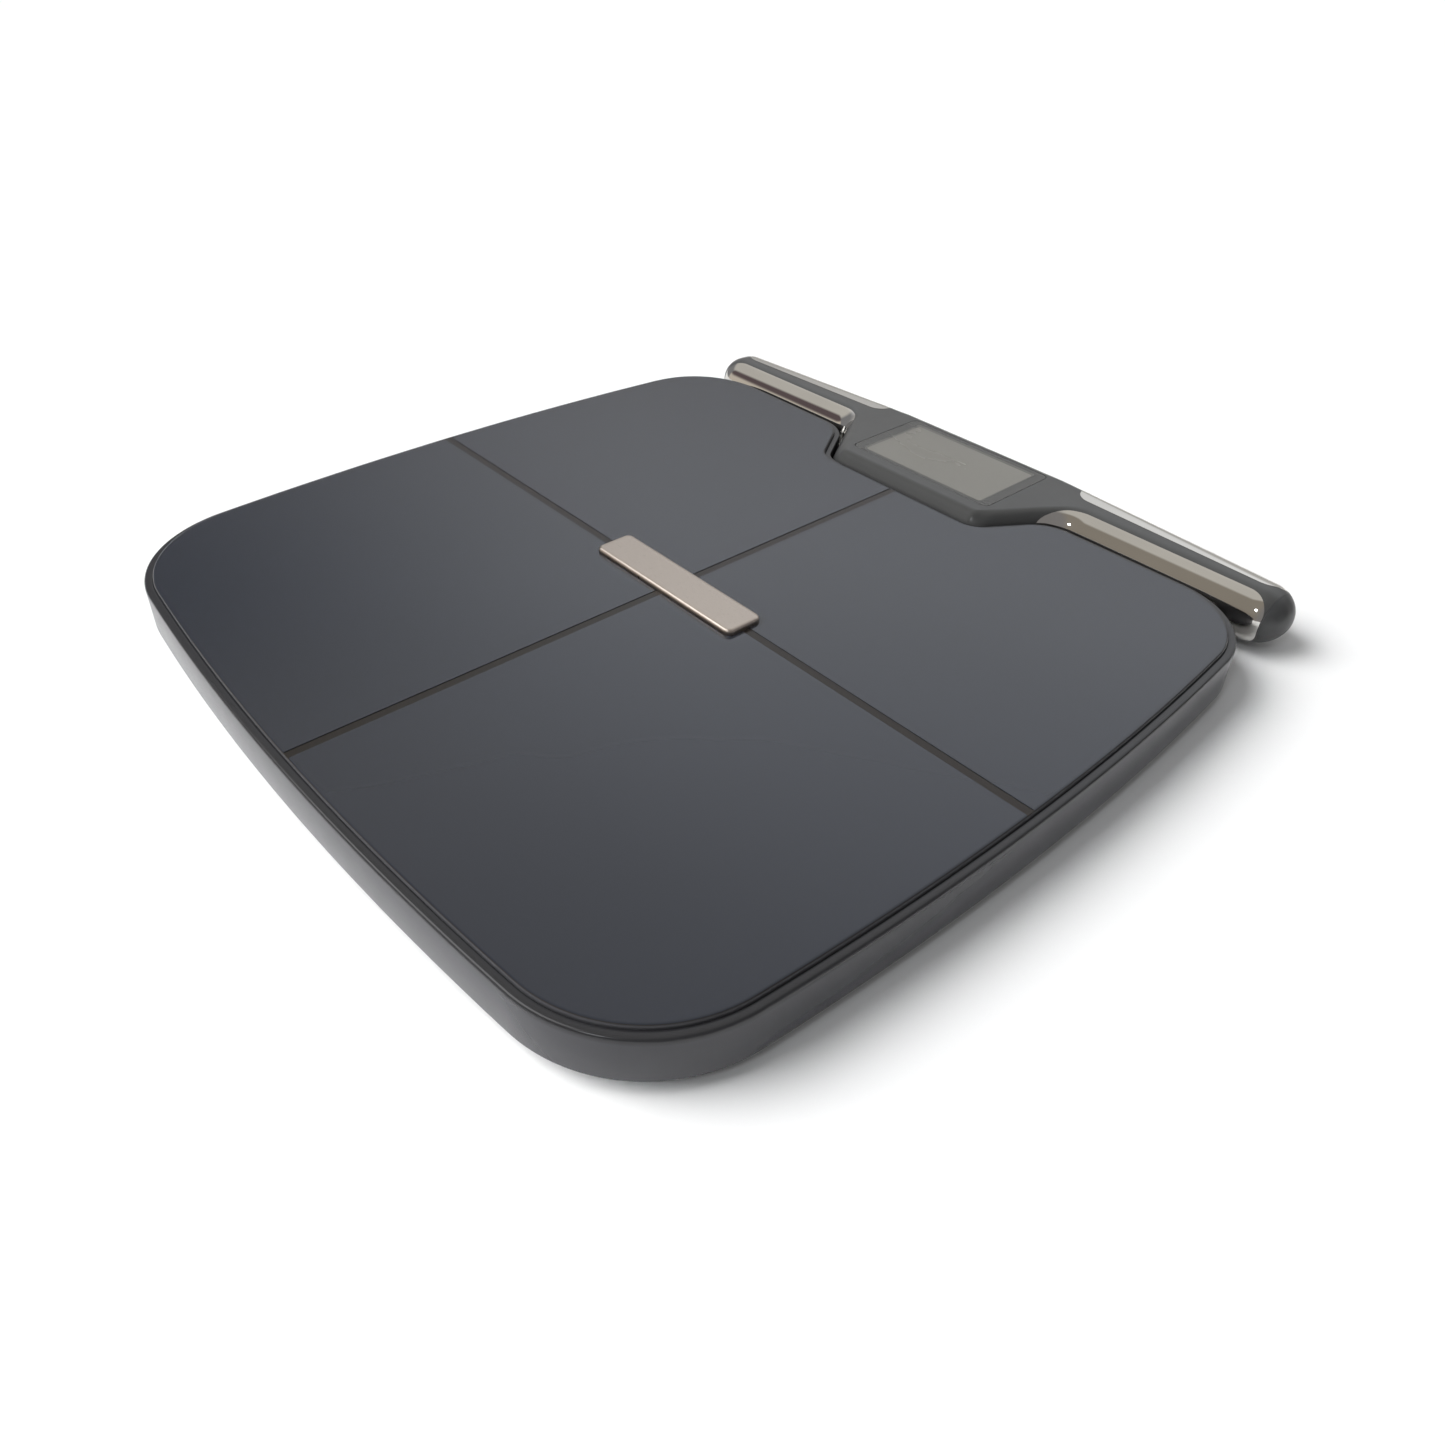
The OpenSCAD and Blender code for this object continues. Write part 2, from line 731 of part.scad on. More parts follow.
module unit_switch() {
    color([0.2, 0.2, 0.2])
        translate([button_p[0], button_p[1], 0]) {
            block(-switch_hw, switch_hw, -switch_hw, switch_hw, board_z - switch_h, board_z);
            disc(switch_pin_r, board_z - switch_h - 0.3, board_z - switch_h + 0.1);
        }
}

module unit_button() {
    color([0.5, 0.5, 0.5])
        translate([button_p[0], button_p[1], 0]) {
            disc(button_r, base_z - 0.3, base_z + base_t + 0.3);
            disc(button_r + 1.4, base_z + base_t + 0.2, base_z + base_t + 0.8);
        }
}

module battery_tray() {
    color([0.17, 0.17, 0.18])
        difference() {
            union() {
                block(-bay_hx - bay_wall, bay_hx + bay_wall, bay_y - bay_hy - bay_wall,
                    bay_y + bay_hy + bay_wall, base_z, glass_bot - 0.2);
                block(-bay_hx - bay_flange, bay_hx + bay_flange,
                    bay_y - bay_hy - bay_flange, bay_y + bay_hy + bay_flange,
                    base_z + base_t, base_z + base_t + 1.2);
            }
            block(-bay_hx, bay_hx, bay_y - bay_hy, bay_y + bay_hy, base_z - 1, glass_bot - 0.8);
        }
}

// Cylindrical cell with its positive nub, alternate cells turned round
module battery(i) {
    turn = i % 2;
    color(i % 2 ? [0.75, 0.50, 0.25] : [0.72, 0.48, 0.24])
        translate([(i - 1.5) * cell_pitch, bay_y, cell_z])
            rotate([90, 0, turn * 180]) {
                translate([0, 0, -cell_l / 2]) cylinder(r = cell_r, h = cell_l - nub_h);
                translate([0, 0, cell_l / 2 - nub_h - 0.1]) cylinder(r = nub_r, h = nub_h + 0.1);
            }
}

module battery_1() { battery(0); }
module battery_2() { battery(1); }
module battery_3() { battery(2); }
module battery_4() { battery(3); }

coil_turns = 3;
coil_steps = 12;
coil_r = 3.1;
coil_wire_r = 0.35;
coil_l = 2;
contact_size = [8, 8, 0.4];

// Ring of six points around a coil spring's wire at step i
function coil_ring(i) = [
    for (k = [0:5])
        let (a = 360 * i / coil_steps, r = coil_r + coil_wire_r * cos(60 * k))
            [
                r * cos(a),
                r * sin(a),
                0.4 + coil_l * i / (coil_turns * coil_steps) + coil_wire_r * sin(60 * k)
            ]
];

// Coil springs that press the cells' negative ends
module battery_springs() {
    color(steel_colour)
        for (i = [0:3])
            translate([(i - 1.5) * cell_pitch, bay_y, cell_z])
                rotate([90, 0, (i % 2) * 180])
                    translate([0, 0, -bay_hy + 0.3])
                        ring_loft([for (k = [coil_turns * coil_steps:-1:0]) coil_ring(k)]);
}

module battery_plates() {
    color(steel_colour)
        for (i = [0:3])
            translate([(i - 1.5) * cell_pitch, bay_y, cell_z])
                rotate([90, 0, (i % 2) * 180])
                    translate([-contact_size[0] / 2, -contact_size[1] / 2, bay_hy - 0.5])
                        cube(contact_size);
}

module battery_door() {
    color([0.19, 0.19, 0.20])
        difference() {
            union() {
                block(-door_hw, door_hw, door_y0, door_y1, door_z0, door_z1);
                block(-door_hw - door_lip, door_hw + door_lip, door_y0 + 1, door_y1,
                    door_z0 + 0.5, door_z1 - 0.3);
            }
            for (i = [0:4])
                block(-9, 9, door_y0 + 3 + i * groove_pitch, door_y0 + 4 + i * groove_pitch,
                    door_z0 - 1, door_z0 + 0.5);
        }
}

module at_reel() {
    translate([0, reel_y, 0]) children();
}

module reel_housing() {
    color([0.72, 0.72, 0.70])
        at_reel()
            difference() {
                disc(reel_r, reel_z, reel_z + reel_h);
                disc(reel_r - 2, reel_z + 1, reel_z + reel_h + 1);
                disc(axle_r, 0, 20);
                block(-4, 4, reel_r - 6, reel_r + 1, reel_z + 2, reel_z + 7);
            }
}

module reel_cover() {
    color([0.72, 0.72, 0.70])
        at_reel()
            difference() {
                disc(reel_r, reel_z + reel_h, reel_z + reel_h + reel_cover_t);
                disc(axle_r + bore_gap, 0, 20);
            }
}

module reel_axle() {
    color(steel_colour) at_reel() disc(axle_r, reel_z, reel_z + reel_h + reel_cover_t);
}

module reel_drum() {
    color([0.86, 0.85, 0.80])
        at_reel()
            difference() {
                union() {
                    disc(drum_d / 2, reel_z + drum_z[0], reel_z + drum_z[1]);
                    disc(drum_core_r, reel_z + drum_z[1] - 0.1, reel_z + drum_z[2] + 0.1);
                    disc(drum_d / 2, reel_z + drum_z[2], reel_z + drum_z[3]);
                }
                disc(axle_r + bore_gap, 0, 20);
                disc(drum_core_r - 2, reel_z + drum_z[1] + 0.2, 20);
            }
}

spring_turns = 5;
spring_steps = 24;
spring_r0 = 4.2;
spring_grow = 12;
spring_t = 0.5;
spring_h = 2.8;

// Spiral spring's line, from the axle out to the drum's core, moved out by w
function spiral(w) = [
    for (i = [0:spring_turns * spring_steps])
        let (
            r = spring_r0 + spring_grow * i / (spring_turns * spring_steps) + w,
            a = 360 * i / spring_steps
        )
            [r * cos(a), r * sin(a)]
];

module reel_spring() {
    color([0.35, 0.37, 0.42])
        at_reel()
            translate([0, 0, reel_z + drum_z[1] + 0.6])
                linear_extrude(height = spring_h)
                    polygon(concat(spiral(0), [
                        for (i = [spring_turns * spring_steps:-1:0]) spiral(spring_t)[i]
                    ]));
}

// Bush in the notch's wall that the handle's cord runs through
module cord_gland() {
    color([0.12, 0.12, 0.12])
        translate([0, gland_y, gland_z])
            rotate([90, 0, 0])
                difference() {
                    union() {
                        translate([0, 0, -gland_flange_t])
                            cylinder(r = gland_flange_r, h = gland_flange_t);
                        cylinder(r = gland_r, h = gland_l);
                    }
                    translate([0, 0, -2]) cylinder(r = cord_r, h = 8);
                }
}

// Pan-head screws with a cross recess
module base_screws() {
    color(steel_colour)
        for (p = screw_ps)
            translate([p[0], p[1], 0])
                difference() {
                    union() {
                        disc(screw_head_r, base_z + 0.1, base_z + 0.1 + screw_head_h);
                        disc(screw_r, base_z + screw_head_h, base_z + screw_head_h + screw_l);
                    }
                    block(-1.5, 1.5, -0.3, 0.3, 0, base_z + 0.6);
                    block(-0.3, 0.3, -1.5, 1.5, 0, base_z + 0.6);
                }
}

module dock_pads() {
    color([0.1, 0.1, 0.1])
        for (s = [-1, 1])
            translate([s * dock_pad_x, dock_pad_y, 0])
                disc(dock_pad_r, base_z + base_t, bulge_z0 - 0.3);
}

// ---- Handle unit ----

lens_y1 = bar_y1 - 4.3;
lens_y0 = lens_y1 - lens_d;
lens_t = 1.2;
window_edge = 1.5;
lcd_edge = 1.8;
lcd_t = 2.1;
cord_hole_z = 10.9;
key_z = 16.6;
key_pitch = 14;
key_hw = 4.2;
key_hh = 2.2;
key_gap = 0.3;

module key_hole(i) {
    block(i * key_pitch - key_hw - key_gap, i * key_pitch + key_hw + key_gap, bar_y1 - 4, bar_y1 + 1,
        key_z - key_hh - key_gap, key_z + key_hh + key_gap);
}

module handle_top_shell() {
    color(shell_colour)
        difference() {
            plate_loft(
                [for (x = stations) shell_outer(x, top_angles)],
                [for (x = stations) shell_inner(x, top_angles, shell_t + skin_t)]
            );
            block(-lens_hw - 0.1, lens_hw + 0.1, lens_y0 - 0.1, lens_y1 + 0.1,
                bulge_z1 - lens_t - 0.05, bulge_z1 + 1);
            block(-lens_hw + window_edge, lens_hw - window_edge, lens_y0 + window_edge,
                lens_y1 - window_edge, bulge_z1 - 5, bulge_z1);
            for (i = [-1:1]) key_hole(i);
        }
}

module handle_bottom_shell() {
    color([0.13, 0.13, 0.14])
        difference() {
            plate_loft(
                [for (x = stations) shell_inner(x, bottom_angles, shell_t + skin_t)],
                [for (x = stations) shell_outer(x, bottom_angles)]
            );
            for (p = handle_screw_ps)
                translate([p[0], p[1], 0]) {
                    disc(screw_r + 0.2, 0, 20);
                    disc(screw_head_r, 0, bulge_z0 + 0.1 + screw_head_h);
                }
            translate([0, y_notch + 12, cord_hole_z])
                rotate([90, 0, 0])
                    cylinder(r = cord_r - 0.3, h = 12);
        }
}

// Rounded end of the bar, with a plug that fits inside the shells
module end_cap(side) {
    xs = [for (i = [1:6]) cap_joint + (bar_len / 2 - cap_joint) * sin(15 * i) - (i == 6 ? 0.05 : 0)];
    all_angles = concat(top_angles, [for (i = [len(bottom_angles) - 2:-1:1]) bottom_angles[i]]);
    function ring(x, depth) = [for (p = all_angles) skin_point(x, p[0], p[1], depth)];
    plug = shell_t + skin_t + 0.1;
    color([0.13, 0.13, 0.14])
        mirror([side > 0 ? 0 : 1, 0, 0])
            ring_loft(concat(
                [[for (p = ring(cap_joint + 0.05, plug)) [cap_joint - 4, p[1], p[2]]]],
                [ring(cap_joint + 0.05, plug)],
                [ring(cap_joint + 0.06, 0)],
                [for (x = xs) ring(x, 0)]
            ));
}

module end_cap_left() { end_cap(-1); }
module end_cap_right() { end_cap(1); }

electrode_stations = [for (x = grip_stations) if (x > grip_start) x];

// Chromed skin over the front or the back of a grip
module hand_electrode(side, front) {
    upper = [for (p = top_angles) if (covered(p[0], p[1]) && (p[0] == (front ? 1 : 0))) p];
    down = front ? upper : [for (i = [len(upper) - 1:-1:0]) upper[i]];
    up = [for (i = [len(down) - 1:-1:0]) [3 - down[i][0], 360 - down[i][1]]];
    angles = concat(down, up);
    function row(x, depth) = [for (p = angles) skin_point(x, p[0], p[1], depth)];
    outer = [for (x = electrode_stations) row(x, 0)];
    inner = [for (x = electrode_stations) row(x, skin_t)];
    color(chrome_colour)
        mirror([side > 0 ? 0 : 1, 0, 0]) {
            if (front) plate_loft(outer, inner);
            else plate_loft(inner, outer);
        }
}

module front_electrode_left() { hand_electrode(-1, true); }
module front_electrode_right() { hand_electrode(1, true); }
module rear_electrode_left() { hand_electrode(-1, false); }
module rear_electrode_right() { hand_electrode(1, false); }

module display_lens() {
    color([0.20, 0.20, 0.19])
        block(-lens_hw, lens_hw, lens_y0, lens_y1, bulge_z1 - lens_t, bulge_z1);
}

module lcd_panel() {
    color([0.45, 0.45, 0.42])
        block(-lens_hw + lcd_edge, lens_hw - lcd_edge, lens_y0 + lcd_edge, lens_y1 - lcd_edge,
            bulge_z1 - lens_t - 0.1 - lcd_t, bulge_z1 - lens_t - 0.1);
}

chassis_z = bulge_z1 - lens_t - 3.6;
chassis_t = 1.3;
chassis_boss_r = 3;
handle_board_z = 14.6;
handle_screw_ps = [for (sx = [-1, 1]) for (y = [112, 145]) [sx * 30, y]];

// Frame inside the body that carries the display and the board
module handle_chassis() {
    color([0.80, 0.80, 0.78])
        difference() {
            union() {
                block(-34, 34, lens_y0 - 1.3, lens_y1 - 1.2, chassis_z, chassis_z + chassis_t);
                for (p = handle_screw_ps)
                    translate([p[0], p[1], 0])
                        disc(chassis_boss_r, bulge_z0 + shell_t + skin_t + 0.2, chassis_z + 0.1);
            }
            for (p = handle_screw_ps)
                translate([p[0], p[1], 0]) disc(screw_r + bore_gap, 0, chassis_z - 1);
        }
}

module handle_board() {
    color(board_colour)
        difference() {
            union() {
                block(-33, 33, lens_y0 - 3.3, lens_y1 - 2.7, handle_board_z, handle_board_z + board_t);
                for (i = [-1:1])
                    block(i * key_pitch - 3, i * key_pitch + 3, lens_y1 - 5.2, lens_y1 - 1,
                        handle_board_z + 1.1, key_z + 1.8);
                block(-10, 8, 118, 134, handle_board_z + 1.1, handle_board_z + 2.4);
            }
            for (p = handle_screw_ps)
                translate([p[0], p[1], 0]) disc(chassis_boss_r + 0.2, 10, 20);
        }
}

// Key in the back face, which slides forward onto its switch
module key(i) {
    color([0.20, 0.20, 0.21])
        translate([i * key_pitch, 0, 0]) {
            block(-key_hw, key_hw, bar_y1 - 3.5, bar_y1 - 0.1, key_z - key_hh, key_z + key_hh);
            block(-key_hw - 1, key_hw + 1, bar_y1 - 4.2, bar_y1 - 3.2,
                key_z - key_hh - 0.6, key_z + key_hh + 0.4);
        }
}

module power_key() { key(0); }
module up_key() { key(1); }
module down_key() { key(-1); }

module handle_screws() {
    color(steel_colour)
        for (p = handle_screw_ps)
            translate([p[0], p[1], 0]) {
                disc(screw_head_r - 0.3, bulge_z0 + 0.1, bulge_z0 + 0.1 + screw_head_h);
                disc(screw_r, bulge_z0 + screw_head_h, bulge_z0 + screw_head_h + screw_l + 1);
            }
}

glass_top();
toe_electrode_left();
toe_electrode_right();
heel_electrode_left();
heel_electrode_right();
centre_plate();
glass_gasket();
top_frame();
base_cover();
cell_holder_toe_left();
cell_holder_toe_right();
cell_holder_heel_left();
cell_holder_heel_right();
load_cell_toe_left();
load_cell_toe_right();
load_cell_heel_left();
load_cell_heel_right();
foot_toe_left();
foot_toe_right();
foot_heel_left();
foot_heel_right();
foot_pad_toe_left();
foot_pad_toe_right();
foot_pad_heel_left();
foot_pad_heel_right();
main_board();
unit_switch();
unit_button();
battery_tray();
battery_1();
battery_2();
battery_3();
battery_4();
battery_springs();
battery_plates();
battery_door();
reel_housing();
reel_cover();
reel_axle();
reel_drum();
reel_spring();
cord_gland();
base_screws();
dock_pads();
handle_top_shell();
handle_bottom_shell();
end_cap_left();
end_cap_right();
front_electrode_left();
front_electrode_right();
rear_electrode_left();
rear_electrode_right();
display_lens();
lcd_panel();
handle_chassis();
handle_board();
power_key();
up_key();
down_key();
handle_screws();
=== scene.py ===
"""The looks of the digital bathroom scale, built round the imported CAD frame.

Sizes are metres in the CAD's frame: +X along the handle, +Y from the heel edge to the handle, +Z up.
"""
import json
import math

import bmesh
import bpy
import numpy as np
from mathutils import Matrix, Vector

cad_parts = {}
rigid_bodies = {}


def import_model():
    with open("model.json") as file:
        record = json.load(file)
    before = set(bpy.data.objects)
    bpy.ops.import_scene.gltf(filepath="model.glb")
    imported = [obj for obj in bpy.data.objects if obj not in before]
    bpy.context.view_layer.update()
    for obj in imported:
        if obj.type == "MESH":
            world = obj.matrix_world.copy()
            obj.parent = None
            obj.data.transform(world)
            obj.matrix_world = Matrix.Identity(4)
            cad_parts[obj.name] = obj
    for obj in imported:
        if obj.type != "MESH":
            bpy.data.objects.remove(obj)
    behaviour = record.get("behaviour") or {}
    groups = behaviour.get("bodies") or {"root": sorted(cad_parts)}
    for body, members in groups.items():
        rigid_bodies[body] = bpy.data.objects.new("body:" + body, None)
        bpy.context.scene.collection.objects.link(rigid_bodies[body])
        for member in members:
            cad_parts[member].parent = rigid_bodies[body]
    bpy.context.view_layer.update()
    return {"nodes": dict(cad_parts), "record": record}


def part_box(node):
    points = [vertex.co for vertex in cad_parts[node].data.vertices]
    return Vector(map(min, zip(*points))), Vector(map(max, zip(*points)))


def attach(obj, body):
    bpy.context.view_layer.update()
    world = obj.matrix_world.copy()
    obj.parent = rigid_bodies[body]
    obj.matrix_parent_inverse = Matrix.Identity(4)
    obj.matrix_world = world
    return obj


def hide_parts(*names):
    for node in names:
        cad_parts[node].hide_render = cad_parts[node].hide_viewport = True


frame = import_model()
NODES = frame["nodes"]
MM = 0.001

# ---- Camera ----

CAMERA_AZIMUTH = math.radians(46.92)
CAMERA_ELEVATION = math.radians(38.8)
CAMERA_ROLL = math.radians(2.1)
CAMERA_PLACE = Vector((250.8, -223.7, 225.1)) * MM
SENSOR = 36
LENS = 28.085
NEAREST = 10 * MM


def make_camera():
    """The main viewpoint: the object fills the frame from a short distance."""
    ahead = Vector((
        -math.sin(CAMERA_AZIMUTH) * math.cos(CAMERA_ELEVATION),
        math.cos(CAMERA_AZIMUTH) * math.cos(CAMERA_ELEVATION),
        -math.sin(CAMERA_ELEVATION),
    ))
    level = ahead.cross(Vector((0, 0, 1))).normalized()
    over = level.cross(ahead)
    right = level * math.cos(CAMERA_ROLL) + over * math.sin(CAMERA_ROLL)
    up = over * math.cos(CAMERA_ROLL) - level * math.sin(CAMERA_ROLL)
    data = bpy.data.cameras.new("camera")
    data.sensor_width = SENSOR
    data.lens = LENS
    data.clip_start = NEAREST
    camera = bpy.data.objects.new("camera", data)
    turn = Matrix((right, up, -ahead)).transposed()
    camera.matrix_world = Matrix.Translation(CAMERA_PLACE) @ turn.to_4x4()
    bpy.context.scene.collection.objects.link(camera)
    bpy.context.scene.camera = camera


# ---- Plan of the platform, as the CAD model has it ----

RIM_W = 3.7 * MM
SIDE_R = 1066 * MM
HEEL_R = 1131 * MM
HEEL_CORNER_R = 41.6 * MM
FRONT_CORNER_R = 30.9 * MM
GAP = 3.1 * MM
NOTCH_DEPTH = 25.1 * MM
NOTCH_HALF_W = 47.7 * MM
NOTCH_OUTER_R = 14 * MM
NOTCH_INNER_R = 12 * MM
NOTCH_A = math.radians(58)
NOTCH_N = (-math.sin(NOTCH_A), math.cos(NOTCH_A))
DOCK_GAP = 3.7 * MM

rim_lo, rim_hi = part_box("top_frame")
glass_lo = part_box("glass_top")[0]
cross_lo, cross_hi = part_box("centre_plate")
film_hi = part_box("heel_electrode_right")[1]
Y_CROSS = (cross_lo.y + cross_hi.y) / 2
Y_HEEL = rim_lo.y + RIM_W
Y_FRONT = rim_hi.y - RIM_W
Y_SIDE = Y_CROSS - 1.3 * MM
GLASS_HW = round(rim_hi.x, 4) - RIM_W
Y_NOTCH = Y_FRONT - NOTCH_DEPTH
NOTCH_P = (NOTCH_HALF_W, Y_FRONT - NOTCH_DEPTH * 0.454)
NOTCH_OUTER_Y = Y_FRONT - NOTCH_OUTER_R
GLASS_TOP = film_hi.z
FILM_T = 0.2 * MM

# Steps along each arc of the outline.
HEEL_STEPS = 26
HEEL_CORNER_STEPS = 44
SIDE_STEPS = 50
FRONT_CORNER_STEPS = 40
NOTCH_STEPS = 26

# The outline's straight stretches: the two ends in X, in millimetres, and the number of points.
FRONT_FLAT = (105, 70, 8)
NOTCH_FLAT = (28, 0, 6)


def circles_meet(c1, r1, c2, r2):
    """The point where two circles meet, on the right of the line from the first to the second."""
    dx, dy = c2[0] - c1[0], c2[1] - c1[1]
    d = math.hypot(dx, dy)
    t = (r1 * r1 - r2 * r2 + d * d) / (2 * d)
    h = math.sqrt(r1 * r1 - t * t)
    return (c1[0] + (dx * t + dy * h) / d, c1[1] + (dy * t - dx * h) / d)


SIDE_C = (GLASS_HW - SIDE_R, Y_SIDE)
HEEL_C = (0, Y_HEEL + HEEL_R)
HEEL_CORNER_C = circles_meet(SIDE_C, SIDE_R - HEEL_CORNER_R, HEEL_C, HEEL_R - HEEL_CORNER_R)
FRONT_CORNER_Y = Y_FRONT - FRONT_CORNER_R
FRONT_CORNER_C = (
    SIDE_C[0] + math.sqrt((SIDE_R - FRONT_CORNER_R) ** 2 - (FRONT_CORNER_Y - Y_SIDE) ** 2),
    FRONT_CORNER_Y,
)
NOTCH_INNER_C = (
    NOTCH_P[0]
    + (NOTCH_INNER_R - NOTCH_N[1] * (Y_NOTCH + NOTCH_INNER_R - NOTCH_P[1])) / NOTCH_N[0],
    Y_NOTCH + NOTCH_INNER_R,
)


def heading(a, b):
    """The direction from a to b, in radians."""
    return math.atan2(b[1] - a[1], b[0] - a[0])


def arc(c, r, a0, a1, n):
    """n + 1 points of a circle's arc, from angle a0 to a1 in radians."""
    turns = [a0 + (a1 - a0) * i / n for i in range(n + 1)]
    return [(c[0] + r * math.cos(a), c[1] + r * math.sin(a)) for a in turns]


def outline(d, e):
    """The platform's plan outline, offset by d outside and by e in the notch."""
    outer_c = (
        NOTCH_P[0]
        - (NOTCH_OUTER_R + d - e - NOTCH_N[1] * (NOTCH_P[1] - NOTCH_OUTER_Y)) / NOTCH_N[0],
        NOTCH_OUTER_Y,
    )
    quarter = math.pi / 2
    corner_in = heading(HEEL_C, HEEL_CORNER_C)
    corner_out = heading(SIDE_C, HEEL_CORNER_C)
    front_in = heading(SIDE_C, FRONT_CORNER_C)
    half = (
        arc(HEEL_C, HEEL_R + d, -quarter, corner_in, HEEL_STEPS)
        + arc(HEEL_CORNER_C, HEEL_CORNER_R + d, corner_in, corner_out, HEEL_CORNER_STEPS)[1:]
        + arc(SIDE_C, SIDE_R + d, corner_out, front_in, SIDE_STEPS)[1:]
        + arc(FRONT_CORNER_C, FRONT_CORNER_R + d, front_in, quarter, FRONT_CORNER_STEPS)[1:]
        + [(x, Y_FRONT + d) for x in np.linspace(*FRONT_FLAT) * MM]
        + arc(outer_c, NOTCH_OUTER_R + d, quarter, quarter + NOTCH_A, NOTCH_STEPS)
        + arc(NOTCH_INNER_C, NOTCH_INNER_R - e, 3 * quarter + NOTCH_A, 3 * quarter, NOTCH_STEPS)
        + [(x, Y_NOTCH + e) for x in np.linspace(*NOTCH_FLAT) * MM]
    )
    return half + [(-x, y) for x, y in half[-2:0:-1]]


# Offsets outside the notch, and those in it that go with them: the rim narrows there.
RIM_OUTSIDE = (-6, 1.2, 2.3, 4.1)
RIM_IN_NOTCH = (-6, 1.0, 2.4, 3.3)


def notch_offset(d):
    """The offset in the notch that goes with offset d outside."""
    return np.interp(d / MM, RIM_OUTSIDE, RIM_IN_NOTCH) * MM


def ring(d, z, e=None):
    """The platform's outline at offset d and height z."""
    return [(x, y, z) for x, y in outline(d, notch_offset(d) if e is None else e)]


# ---- Mesh tools ----


def new_object(name, bm, body, replaced, sharp=32):
    """Makes a piece of the mesh: smooth faces, with edges over the sharp angle left crisp."""
    bmesh.ops.recalc_face_normals(bm, faces=bm.faces)
    for face in bm.faces:
        face.smooth = True
    for edge in bm.edges:
        if len(edge.link_faces) == 2:
            edge.smooth = edge.calc_face_angle(0) < math.radians(sharp)
    mesh = bpy.data.meshes.new(name)
    bm.to_mesh(mesh)
    bm.free()
    piece = bpy.data.objects.new(name, mesh)
    bpy.context.scene.collection.objects.link(piece)
    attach(piece, body)
    if replaced:
        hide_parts(*replaced)
    return piece


def dress(piece, material):
    """Gives a piece its material."""
    piece.data.materials.clear()
    piece.data.materials.append(material)
    return piece


def loft(rows, closed=True, looped=False, caps=True):
    """A mesh through rows of points. Closed rows are rings, and a looped loft ends where it starts."""
    bm = bmesh.new()
    grid = [[bm.verts.new(p) for p in row] for row in rows]
    n, m = len(grid), len(grid[0])
    for i in range(n if looped else n - 1):
        a, b = grid[i], grid[(i + 1) % n]
        for k in range(m if closed else m - 1):
            bm.faces.new((a[k], a[(k + 1) % m], b[(k + 1) % m], b[k]))
    if caps:
        bm.faces.new(grid[0][::-1])
        bm.faces.new(grid[-1])
    return bm


def slab(outer, inner):
    """A closed plate between two open grids of points of the same size."""
    bm = bmesh.new()
    top = [[bm.verts.new(p) for p in row] for row in outer]
    low = [[bm.verts.new(p) for p in row] for row in inner]
    n, m = len(top), len(top[0])
    for i in range(n - 1):
        for k in range(m - 1):
            bm.faces.new((top[i][k], top[i][k + 1], top[i + 1][k + 1], top[i + 1][k]))
            bm.faces.new((low[i][k], low[i + 1][k], low[i + 1][k + 1], low[i][k + 1]))
        for k in (0, m - 1):
            bm.faces.new((top[i][k], top[i + 1][k], low[i + 1][k], low[i][k]))
    for i in (0, n - 1):
        for k in range(m - 1):
            bm.faces.new((top[i][k], top[i][k + 1], low[i][k + 1], low[i][k]))
    return bm


def rounded_rect(hx, hy, r, cx=0.0, cy=0.0, n=8):
    """A rounded rectangle's points round (cx, cy)."""
    points = []
    for sx, sy, a in ((1, -1, -0.5), (1, 1, 0), (-1, 1, 0.5), (-1, -1, 1)):
        centre = (cx + sx * (hx - r), cy + sy * (hy - r))
        points += arc(centre, r, a * math.pi, (a + 0.5) * math.pi, n)
    return points


# A pad's flat top starts this many bevels in from its edge.
FLAT_START = 1.3


def pad(hx, hy, r, place, z0, z1, bevel, steps=4):
    """A rounded rectangular plate from z0 to z1 with its upper edge rounded."""
    rows = [[(x, y, z0) for x, y in rounded_rect(hx, hy, r, *place)]]
    for i in range(steps + 1):
        a = math.pi / 2 * i / steps
        inset = bevel * (1 - math.cos(a))
        z = z1 - bevel * (1 - math.sin(a))
        rows.append([
            (x, y, z) for x, y in rounded_rect(hx - inset, hy - inset, r - inset, *place)
        ])
    shrink = bevel * FLAT_START
    rows.append([
        (x, y, z1) for x, y in rounded_rect(hx - shrink, hy - shrink, max(r - shrink, r / 4), *place)
    ])
    return loft(rows)


def prism(points, z0, z1):
    """A straight solid over an outline."""
    return loft([[(x, y, z) for x, y in points] for z in (z0, z1)])


def cut(bm, cutters):
    """Takes the cutters' volumes out of a mesh, with the exact boolean."""
    target = bpy.data.objects.new("cut_target", bpy.data.meshes.new("cut_target"))
    bmesh.ops.recalc_face_normals(bm, faces=bm.faces)
    bm.to_mesh(target.data)
    bm.free()
    scene = bpy.context.scene.collection
    scene.objects.link(target)
    made = [target]
    for cutter in cutters:
        bmesh.ops.recalc_face_normals(cutter, faces=cutter.faces)
        tool = bpy.data.objects.new("cut_tool", bpy.data.meshes.new("cut_tool"))
        cutter.to_mesh(tool.data)
        cutter.free()
        scene.objects.link(tool)
        made.append(tool)
        step = target.modifiers.new("cut", "BOOLEAN")
        step.operation = "DIFFERENCE"
        step.solver = "EXACT"
        step.object = tool
    bpy.context.view_layer.update()
    result = bmesh.new()
    result.from_object(target, bpy.context.evaluated_depsgraph_get())
    for item in made:
        mesh = item.data
        bpy.data.objects.remove(item)
        bpy.data.meshes.remove(mesh)
    return result


# ---- Materials ----

# The two colour sockets of a Mix node.
MIX_A = 6
MIX_B = 7


